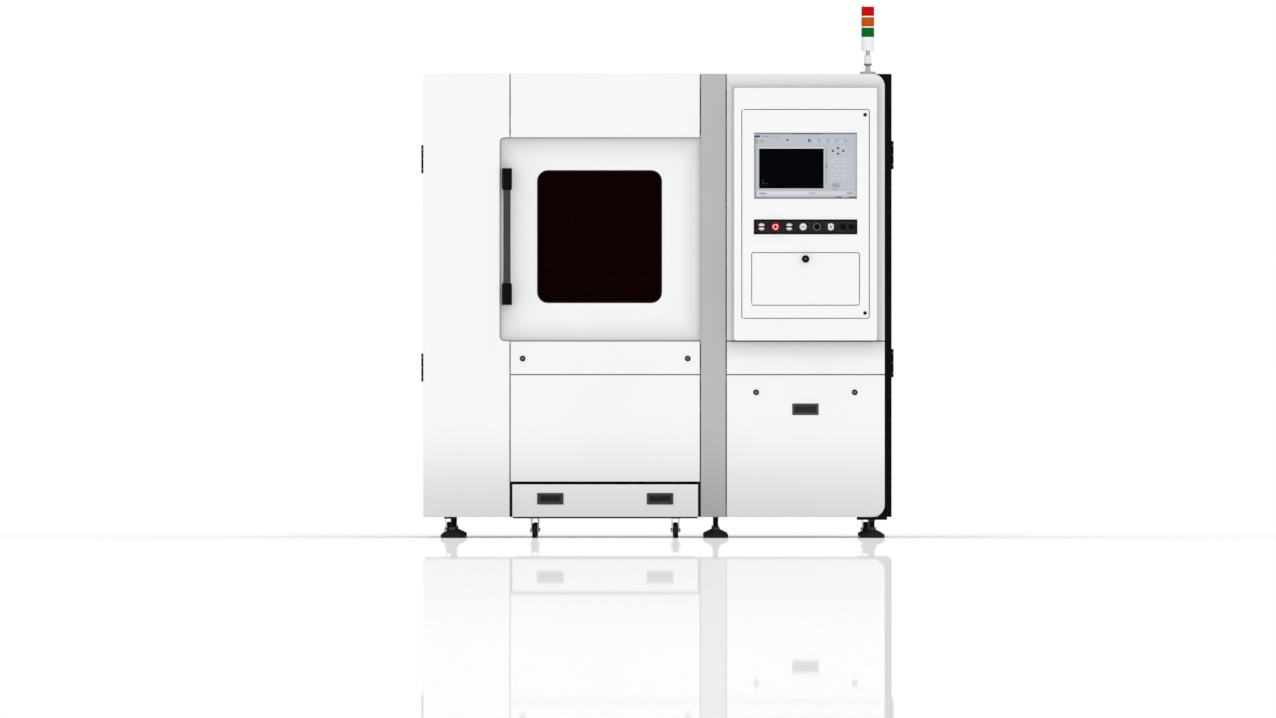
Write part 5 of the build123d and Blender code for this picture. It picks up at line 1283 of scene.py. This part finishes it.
# Carriage: face for its screws from its back, motor at its top with the fins round it
CARRIAGE_FACE, MOTOR_HEIGHT, MOTOR_END = 36 * MM, 90 * MM, 12 * MM
FIN_HALF_WIDTH, FIN_PITCH, FIN_THICK, FIN_PROUD = 31.5 * MM, 8 * MM, 3 * MM, 1.5 * MM
CARRIAGE_SCREW_OUT, CARRIAGE_SCREW_HEIGHTS = 58 * MM, mm((14, 44, 90, 120))
CARRIAGE_SCREW_RADIUS, CARRIAGE_SCREW_PROUD = 4 * MM, 3 * MM

# Head: its axis behind its front, and turned profiles as (along, radius) rows in millimetres from its tip
HEAD_AXIS = 30 * MM
NOZZLE = ((0.1, 0.9), (0.1, 3.2), (14, 6.6), (14, 10.5), (26, 10.5), (26, 0.9), (0.1, 0.9))
CERAMIC_RING = ((26, 8), (26, 15), (28, 20.4), (36, 20.4), (36, 8), (26, 8))
NOZZLE_GRIP = ((0, 18), (0, 21.4), (1, 22), (13, 22), (14, 21.4), (14, 18))
NOZZLE_GRIP_FOOT, NOZZLE_GRIP_DIP, NOZZLE_GRIP_FLUTES = 44 * MM, 0.8 * MM, 40
HEAD_BAND = ((0, 28), (0, 31.2), (1, 32), (5, 32), (6, 31.2), (6, 28), (0, 28))
HEAD_BAND_HEIGHTS = mm((96, 176, 244))
DRAWER_HALF_WIDTH, DRAWER_FRONT, DRAWER_BACK = 24 * MM, 36 * MM, 20 * MM
DRAWER_MIDDLE, DRAWER_HALF_HEIGHT = 122 * MM, 10 * MM
DRAWER_SCREW_OUT, DRAWER_SCREW_RADIUS, DRAWER_SCREW_HEIGHT = 17 * MM, 3.6 * MM, 3 * MM
FITTING = ((0, 0), (0, 5.5), (6, 5.5), (6, 4), (16, 4), (17, 3.4), (17, 0))
FITTING_OUT, FITTING_HEIGHTS = 29.5 * MM, mm((150, 214))
FIBRE_BOOT = ((-34, 12.3), (-34, 14), (-6, 14), (-4, 12.3), (-34, 12.3))


class CUTTER_OT_gantry(Operator):
    """Make the fittings of the gantry, the carriage and the cutting head"""

    bl_idname = "cutter.gantry"
    bl_label = "Gantry and head"

    def execute(self, context):
        self.beam()
        self.carriage()
        self.head()
        return {"FINISHED"}

    def beam(self):
        """Magnet track between the rails, ground faces of the rails, end caps and the cable tray."""
        low, high = edges("gantry_beam")
        left, right, top = low[0], high[0], high[2]
        foot, centre, face = top - BEAM_HEIGHT, top - BEAM_HEIGHT / 2, low[1] + BEAM_FRONT
        count = int((right - left - 2 * MAGNET_END) / MAGNET_PITCH)
        starts = left + MAGNET_END + MAGNET_PITCH * np.arange(count)
        magnets = [(x, x + MAGNET_PITCH - MAGNET_GAP, face - MAGNET_PROUD, face,
                    *about(centre, MAGNET_HALF_HEIGHT)) for x in starts]
        piece("magnet_track", [boxes(magnets)], "zinc", "gantry", bevel=0.8 * MM)
        faces = [(left + CROSS_RAIL_END, right - CROSS_RAIL_END, face - CROSS_RAIL_FRONT,
                  face - CROSS_RAIL_BACK, *about(z, CROSS_RAIL_HALF_HEIGHT))
                 for z in about(centre, CROSS_RAIL_OUT)]
        piece("cross_rail_faces", [boxes(faces)], "rail", "gantry")
        rest = (face + END_CAP_INSET, high[1] - BEAM_BACK, foot + END_CAP_INSET, top - END_CAP_INSET)
        caps = [(left - END_CAP_THICK, left, *rest), (right, right + END_CAP_THICK, *rest)]
        piece("beam_end_caps", [boxes(caps)], "moulding", "gantry", bevel=1.2 * MM)
        along = (left + TRAY_END, right - TRAY_END)
        front, back = high[1] - TRAY_FRONT, high[1] - TRAY_BACK
        tray = [(*along, front, front + TRAY_WALL, top, top + TRAY_HEIGHT),
                (*along, back - TRAY_WALL, back, top, top + TRAY_HEIGHT),
                (*along, front + TRAY_WALL, back - TRAY_WALL, top, top + TRAY_FLOOR)]
        piece("cable_tray", [boxes(tray)], "dark_alloy", "gantry", bevel=0.6 * MM)

    def carriage(self):
        """Fins round the motor of the upright drive, and the carriage screws."""
        low, high = edges("x_carriage")
        x = middle("x_carriage")[0]
        front = low[1] - FIN_PROUD
        fins = [(*about(x, FIN_HALF_WIDTH), front, front + 2 * FIN_HALF_WIDTH, z, z + FIN_THICK)
                for z in np.arange(high[2] - MOTOR_HEIGHT + MOTOR_END, high[2] - MOTOR_END, FIN_PITCH)]
        piece("motor_fins", [boxes(fins)], "dark_alloy", "carriage", bevel=0.5 * MM)
        places = [(side, high[1] - CARRIAGE_FACE, low[2] + rise) for side in about(x, CARRIAGE_SCREW_OUT)
                  for rise in CARRIAGE_SCREW_HEIGHTS]
        piece("carriage_screws", screws(places, "-y", CARRIAGE_SCREW_RADIUS, CARRIAGE_SCREW_PROUD), "zinc",
              "carriage")

    def head(self):
        """Nozzle, ceramic ring, grip and bands, window drawer, cooling fittings and the fibre boot."""
        low, high = edges("cutting_head")
        x, y, tip, top = middle("cutting_head")[0], low[1] + HEAD_AXIS, low[2], high[2]
        piece("nozzle", [lathe((x, y, tip), "z", mm(NOZZLE), count=40)], "brass", "head")
        piece("ceramic_ring", [lathe((x, y, tip), "z", mm(CERAMIC_RING), count=56)], "ceramic", "head")
        bands = [fluted((x, y, tip + NOZZLE_GRIP_FOOT), *mm(NOZZLE_GRIP).T, NOZZLE_GRIP_DIP,
                        NOZZLE_GRIP_FLUTES)]
        bands += [lathe((x, y, tip + rise), "z", mm(HEAD_BAND), count=56) for rise in HEAD_BAND_HEIGHTS]
        piece("head_bands", bands, "dark_alloy", "head")
        front, centre = y - DRAWER_FRONT, tip + DRAWER_MIDDLE
        drawer = [(*about(x, DRAWER_HALF_WIDTH), front, y - DRAWER_BACK, *about(centre, DRAWER_HALF_HEIGHT))]
        piece("window_drawer", [boxes(drawer)], "dark_alloy", "head", bevel=2 * MM)
        places = [(side, front, centre) for side in about(x, DRAWER_SCREW_OUT)]
        piece("drawer_screws", screws(places, "-y", DRAWER_SCREW_RADIUS, DRAWER_SCREW_HEIGHT), "zinc", "head")
        ports = [lathe((side, y, tip + rise), axis, mm(FITTING), count=24)
                 for axis, side in zip(("-x", "x"), about(x, FITTING_OUT)) for rise in FITTING_HEIGHTS]
        piece("cooling_fittings", ports, "brass", "head")
        piece("fibre_boot", [lathe((x, y, top), "z", mm(FIBRE_BOOT), count=40)], "blue", "head")


# Laser source: face of its front plate behind its handles, fans, vent bars and rack screws
SOURCE_FACE, FAN_OUT = 40 * MM, 70 * MM
FAN_RIM = ((0, 46), (0, 54), (3, 53), (3, 47), (0, 46))
FAN_WIRE = ((0, -1.5), (0, 1.5), (2, 1), (2, -1), (0, -1.5))
FAN_WIRE_RADII = mm((12, 24, 36))
FAN_BAR_HALF_LENGTH, FAN_BAR_HALF_WIDTH, FAN_BAR_PROUD = 46 * MM, 1.2 * MM, 1.6 * MM
VENT_HALF_LENGTH, VENT_PROUD, VENT_HEIGHT, VENT_DROPS = 120 * MM, 1.5 * MM, 4 * MM, mm((24, 33, 42))
RACK_SCREW_INSET, RACK_SCREW_DROP = 8 * MM, 25 * MM

# Electrics: face of the plate, then drives with fins and terminals, terminal row and wire ducts on it
PLATE_FACE = 23 * MM
DRIVE_COUNT, DRIVE_START, DRIVE_PITCH, DRIVE_DEPTH, DRIVE_DROP = 4, 60 * MM, 90 * MM, 170 * MM, 280 * MM
DRIVE_FIN_COUNT, DRIVE_FIN_PITCH, DRIVE_FIN_WIDTH, DRIVE_FIN_PROUD = 7, 9 * MM, 3 * MM, 4 * MM
DRIVE_FIN_SPAN = mm((70, 205))
TERMINAL_COUNT, TERMINAL_START, TERMINAL_PITCH = 5, 6 * MM, 10 * MM
TERMINAL_WIDTH, TERMINAL_PROUD, TERMINAL_SPAN = 8 * MM, 9 * MM, mm((12, 34))
ROW_COUNT, ROW_START, ROW_PITCH, ROW_WIDTH = 57, 66 * MM, 11 * MM, 9 * MM
ROW_DEPTH, ROW_PROUD, ROW_SPAN = 50 * MM, 6 * MM, mm((70, 110))
DUCT_START, DUCT_END, DUCT_DEPTH, DUCT_HEIGHT, DUCT_WALL = 20 * MM, 740 * MM, 50 * MM, 36 * MM, 4 * MM
DUCT_LIFT, DUCT_UNDER_DRIVES, DUCT_DROP = 150 * MM, 38 * MM, 50 * MM
COMB_COUNT, COMB_PITCH, COMB_WIDTH = 60, 12 * MM, 6 * MM


class CUTTER_OT_equipment(Operator):
    """Make the fittings on the laser source and the electrics plate"""

    bl_idname = "cutter.equipment"
    bl_label = "Cabinet equipment"

    def execute(self, context):
        self.source()
        self.electrics()
        return {"FINISHED"}

    def source(self):
        """Fan rims with their wires and bars, vent bars and rack screws on the source's front plate."""
        low, high = edges("laser_source")
        x, _, z = middle("laser_source")
        face = low[1] + SOURCE_FACE
        rings, bars = [], []
        for fan in about(x, FAN_OUT):
            rings.append(lathe((fan, face, z), "-y", mm(FAN_RIM), count=56))
            rings += [lathe((fan, face, z), "-y", mm(FAN_WIRE) + (0, radius)) for radius in FAN_WIRE_RADII]
            depth = (face - FAN_BAR_PROUD, face)
            bars += [(*about(fan, FAN_BAR_HALF_LENGTH), *depth, *about(z, FAN_BAR_HALF_WIDTH)),
                     (*about(fan, FAN_BAR_HALF_WIDTH), *depth, *about(z, FAN_BAR_HALF_LENGTH))]
        piece("source_fan_rings", rings, "zinc", FRAME_BODY)
        bars += [(*about(x, VENT_HALF_LENGTH), face - VENT_PROUD, face, high[2] - drop,
                  high[2] - drop + VENT_HEIGHT) for drop in VENT_DROPS]
        piece("source_vent_bars", [boxes(bars)], "zinc", FRAME_BODY, bevel=0.4 * MM)
        places = [(px, face, pz) for px in (low[0] + RACK_SCREW_INSET, high[0] - RACK_SCREW_INSET)
                  for pz in (low[2] + RACK_SCREW_DROP, high[2] - RACK_SCREW_DROP)]
        piece("source_screws", screws(places, "-y"), "zinc", FRAME_BODY)

    def electrics(self):
        """Fins and terminals of the drives, the terminal row and the wire ducts."""
        low, high = edges("electrics_plate")
        face, start, foot, top = low[0] + PLATE_FACE, low[1], low[2], high[2]
        drive_x, drive_z = face + DRIVE_DEPTH, top - DRIVE_DROP
        fins, terminals = [], []
        for drive in start + DRIVE_START + DRIVE_PITCH * np.arange(DRIVE_COUNT):
            fins += [(drive_x, drive_x + DRIVE_FIN_PROUD, y, y + DRIVE_FIN_WIDTH, *(drive_z + DRIVE_FIN_SPAN))
                     for y in drive + DRIVE_FIN_PITCH * np.arange(DRIVE_FIN_COUNT)]
            terminals += [(drive_x, drive_x + TERMINAL_PROUD, y, y + TERMINAL_WIDTH,
                           *(drive_z + TERMINAL_SPAN))
                          for y in drive + TERMINAL_START + TERMINAL_PITCH * np.arange(TERMINAL_COUNT)]
        piece("drive_fins", [boxes(fins)], "dark_alloy", FRAME_BODY, bevel=0.5 * MM)
        front = face + ROW_DEPTH
        row = [(front, front + ROW_PROUD, y, y + ROW_WIDTH, *(foot + ROW_SPAN))
               for y in start + ROW_START + ROW_PITCH * np.arange(ROW_COUNT)]
        piece("terminal_blocks", [boxes(terminals + row)], "orange", FRAME_BODY,
              bevel=0.6 * MM)
        ducts = []
        front = face + DUCT_DEPTH
        for z in (foot + DUCT_LIFT, drive_z - DUCT_UNDER_DRIVES, top - DUCT_DROP):
            ducts += [(face, front, start + DUCT_START, start + DUCT_END, wall, wall + DUCT_WALL)
                      for wall in (z, z + DUCT_HEIGHT - DUCT_WALL)]
            ducts += [(front - DUCT_WALL, front, y, y + COMB_WIDTH, z, z + DUCT_HEIGHT)
                      for y in start + DUCT_START + COMB_PITCH * np.arange(COMB_COUNT)]
        piece("wire_ducts", [boxes(ducts)], "hub", FRAME_BODY)


# Keyboard: rows and columns of its caps, and the size of one
CAP_ROWS, CAP_COLUMNS, CAP_PITCH = 5, 18, 19 * MM
CAP_START, CAP_MARGIN = 12 * MM, 18.5 * MM
CAP_WIDTH, CAP_HALF_HEIGHT, CAP_SINK, CAP_PROUD = 16.5 * MM, 8 * MM, 1 * MM, 2.5 * MM


class CUTTER_OT_keys(Operator):
    """Make the key caps of the keyboard behind its flap"""

    bl_idname = "cutter.keys"
    bl_label = "Key caps"

    def execute(self, context):
        low, high = edges("keyboard")
        back = high[1]
        rows = np.linspace(low[2] + CAP_MARGIN, high[2] - CAP_MARGIN, CAP_ROWS)
        starts = low[0] + CAP_START + CAP_PITCH * np.arange(CAP_COLUMNS)
        caps = [(x, x + CAP_WIDTH, back - CAP_SINK, back + CAP_PROUD, *about(z, CAP_HALF_HEIGHT))
                for z in rows for x in starts]
        piece("key_caps", [boxes(caps)], "pull", "flap", bevel=1.5 * MM)
        return {"FINISHED"}


# Stage, in metres: soft boxes, floor and camera
LAMP_DISTANCE, LAMP_WIDTH, LAMP_FOOT, LAMP_TOP = 5.0, 3.2, 0.25, 2.35
LAMP_SPREAD = math.radians(7)
FLOOR_REACH, CAMERA_REACH, MIRROR_ROUGHNESS = 3, 4, 0.01
WHITE = (1, 1, 1, 1)


class CUTTER_OT_stage(Operator):
    """Make the floor, the light and the camera"""

    bl_idname = "cutter.stage"
    bl_label = "Floor, light and camera"

    def execute(self, context):
        stage = context.scene.cutter_stage
        self.floor(context, stage)
        self.world(context, stage)
        self.lights(context, stage)
        camera = bpy.data.cameras.new("front_camera")
        camera.lens = camera.sensor_width * stage.distance / stage.view_width
        camera.clip_end = CAMERA_REACH * stage.distance
        holder = bpy.data.objects.new("front_camera", camera)
        front = edges("left_front_panel")[0][1]
        holder.location = (stage.view_side, front - stage.distance, stage.view_height)
        holder.rotation_euler = (math.pi / 2, 0, 0)
        context.scene.collection.objects.link(holder)
        context.scene.camera = holder
        context.scene.view_settings.view_transform = "Standard"
        return {"FINISHED"}

    def floor(self, context, stage):
        """Flat floor: a wide square, dull white with a faint mirror in it, lifted a little for the camera."""
        size = FLOOR_REACH * stage.distance
        corners = [(-size, -size, 0), (size, -size, 0), (size, size, 0), (-size, size, 0)]
        mesh = bpy.data.meshes.new("floor")
        mesh.from_pydata(corners, [], [(0, 1, 2, 3)])
        material = bpy.data.materials.new("studio_floor")
        material.use_nodes = True
        nodes, links = material.node_tree.nodes, material.node_tree.links
        nodes.clear()
        output = nodes.new("ShaderNodeOutputMaterial")
        path = nodes.new("ShaderNodeLightPath").outputs["Is Camera Ray"]
        shade = nodes.new("ShaderNodeMix")
        shade.data_type = "RGBA"
        shade.inputs[MIX_FIRST].default_value = (*stage.floor, 1)
        shade.inputs[MIX_SECOND].default_value = WHITE
        links.new(path, shade.inputs[MIX_FACTOR])
        matt = nodes.new("ShaderNodeBsdfDiffuse")
        links.new(shade.outputs[MIX_RESULT], matt.inputs["Color"])
        mirror = nodes.new("ShaderNodeBsdfGlossy")
        mirror.inputs["Color"].default_value = WHITE
        mirror.inputs["Roughness"].default_value = MIRROR_ROUGHNESS
        blend = nodes.new("ShaderNodeMixShader")
        blend.inputs[0].default_value = stage.sheen
        links.new(matt.outputs[0], blend.inputs[1])
        links.new(mirror.outputs[0], blend.inputs[2])
        dark, lift = nodes.new("ShaderNodeEmission"), nodes.new("ShaderNodeEmission")
        dark.inputs["Strength"].default_value = 0.0
        lift.inputs["Strength"].default_value = stage.lift
        seen = nodes.new("ShaderNodeMixShader")
        links.new(path, seen.inputs[0])
        links.new(dark.outputs[0], seen.inputs[1])
        links.new(lift.outputs[0], seen.inputs[2])
        total = nodes.new("ShaderNodeAddShader")
        links.new(blend.outputs[0], total.inputs[0])
        links.new(seen.outputs[0], total.inputs[1])
        links.new(total.outputs[0], output.inputs[0])
        mesh.materials.append(material)
        floor = bpy.data.objects.new("floor", mesh)
        context.scene.collection.objects.link(floor)

    def world(self, context, stage):
        """Even dome light that the camera, mirrors and glass see as plain white."""
        world = bpy.data.worlds.new("studio")
        context.scene.world = world
        world.use_nodes = True
        nodes, links = world.node_tree.nodes, world.node_tree.links
        nodes.clear()
        output = nodes.new("ShaderNodeOutputWorld")
        light, seen = nodes.new("ShaderNodeBackground"), nodes.new("ShaderNodeBackground")
        for background, strength in ((light, stage.dome), (seen, 1.0)):
            background.inputs["Color"].default_value = WHITE
            background.inputs["Strength"].default_value = strength
        path = nodes.new("ShaderNodeLightPath")
        ray = path.outputs["Is Camera Ray"]
        for kind in ("Is Glossy Ray", "Is Transmission Ray"):
            either = nodes.new("ShaderNodeMath")
            either.operation = "MAXIMUM"
            links.new(ray, either.inputs[0])
            links.new(path.outputs[kind], either.inputs[1])
            ray = either.outputs[0]
        blend = nodes.new("ShaderNodeMixShader")
        links.new(ray, blend.inputs[0])
        links.new(light.outputs[0], blend.inputs[1])
        links.new(seen.outputs[0], blend.inputs[2])
        links.new(blend.outputs[0], output.inputs[0])

    def lights(self, context, stage):
        """Grid-fitted soft boxes that face the front and the back, and end a little above the floor."""
        for name, way in (("key", -1), ("back_key", 1)):
            lamp = bpy.data.lights.new(name, "AREA")
            lamp.shape = "RECTANGLE"
            lamp.size, lamp.size_y = LAMP_WIDTH, LAMP_TOP - LAMP_FOOT
            lamp.spread = LAMP_SPREAD
            lamp.energy = stage.key
            holder = bpy.data.objects.new(name, lamp)
            holder.location = (0, way * LAMP_DISTANCE, (LAMP_FOOT + LAMP_TOP) / 2)
            holder.rotation_euler = (-way * math.pi / 2, 0, 0)
            holder.visible_glossy = holder.visible_transmission = False
            context.scene.collection.objects.link(holder)


class CUTTER_PT_sidebar(Panel):
    """Steps and settings of the laser cutter"""

    bl_idname = "CUTTER_PT_sidebar"
    bl_label = "Sheet laser cutter"
    bl_space_type = "VIEW_3D"
    bl_region_type = "UI"
    bl_category = "Cutter"

    def draw(self, context):
        for operator in OPERATORS:
            self.layout.operator(operator.bl_idname)
        for name in ("cutter_finishes", "cutter_trim", "cutter_stage"):
            box = self.layout.box()
            settings = getattr(context.scene, name)
            for prop in settings.bl_rna.properties:
                if not prop.is_readonly and prop.identifier != "name":
                    box.prop(settings, prop.identifier)


GROUPS = (("cutter_finishes", CutterFinishes), ("cutter_trim", CutterTrim), ("cutter_stage", CutterStage))
OPERATORS = (CUTTER_OT_coats, CUTTER_OT_display, CUTTER_OT_controls, CUTTER_OT_locks, CUTTER_OT_door,
             CUTTER_OT_casters, CUTTER_OT_feet, CUTTER_OT_tower, CUTTER_OT_hinges, CUTTER_OT_bed,
             CUTTER_OT_gantry, CUTTER_OT_equipment, CUTTER_OT_keys, CUTTER_OT_stage)


def register():
    for name, group in GROUPS:
        bpy.utils.register_class(group)
        setattr(bpy.types.Scene, name, PointerProperty(type=group))
    for cls in OPERATORS + (CUTTER_PT_sidebar,):
        bpy.utils.register_class(cls)


def unregister():
    for cls in (CUTTER_PT_sidebar,) + OPERATORS[::-1]:
        bpy.utils.unregister_class(cls)
    for name, group in GROUPS[::-1]:
        delattr(bpy.types.Scene, name)
        bpy.utils.unregister_class(group)


def main():
    register()
    for operator in OPERATORS:
        group, name = operator.bl_idname.split(".")
        getattr(getattr(bpy.ops, group), name)()


if __name__ == "__main__":
    main()
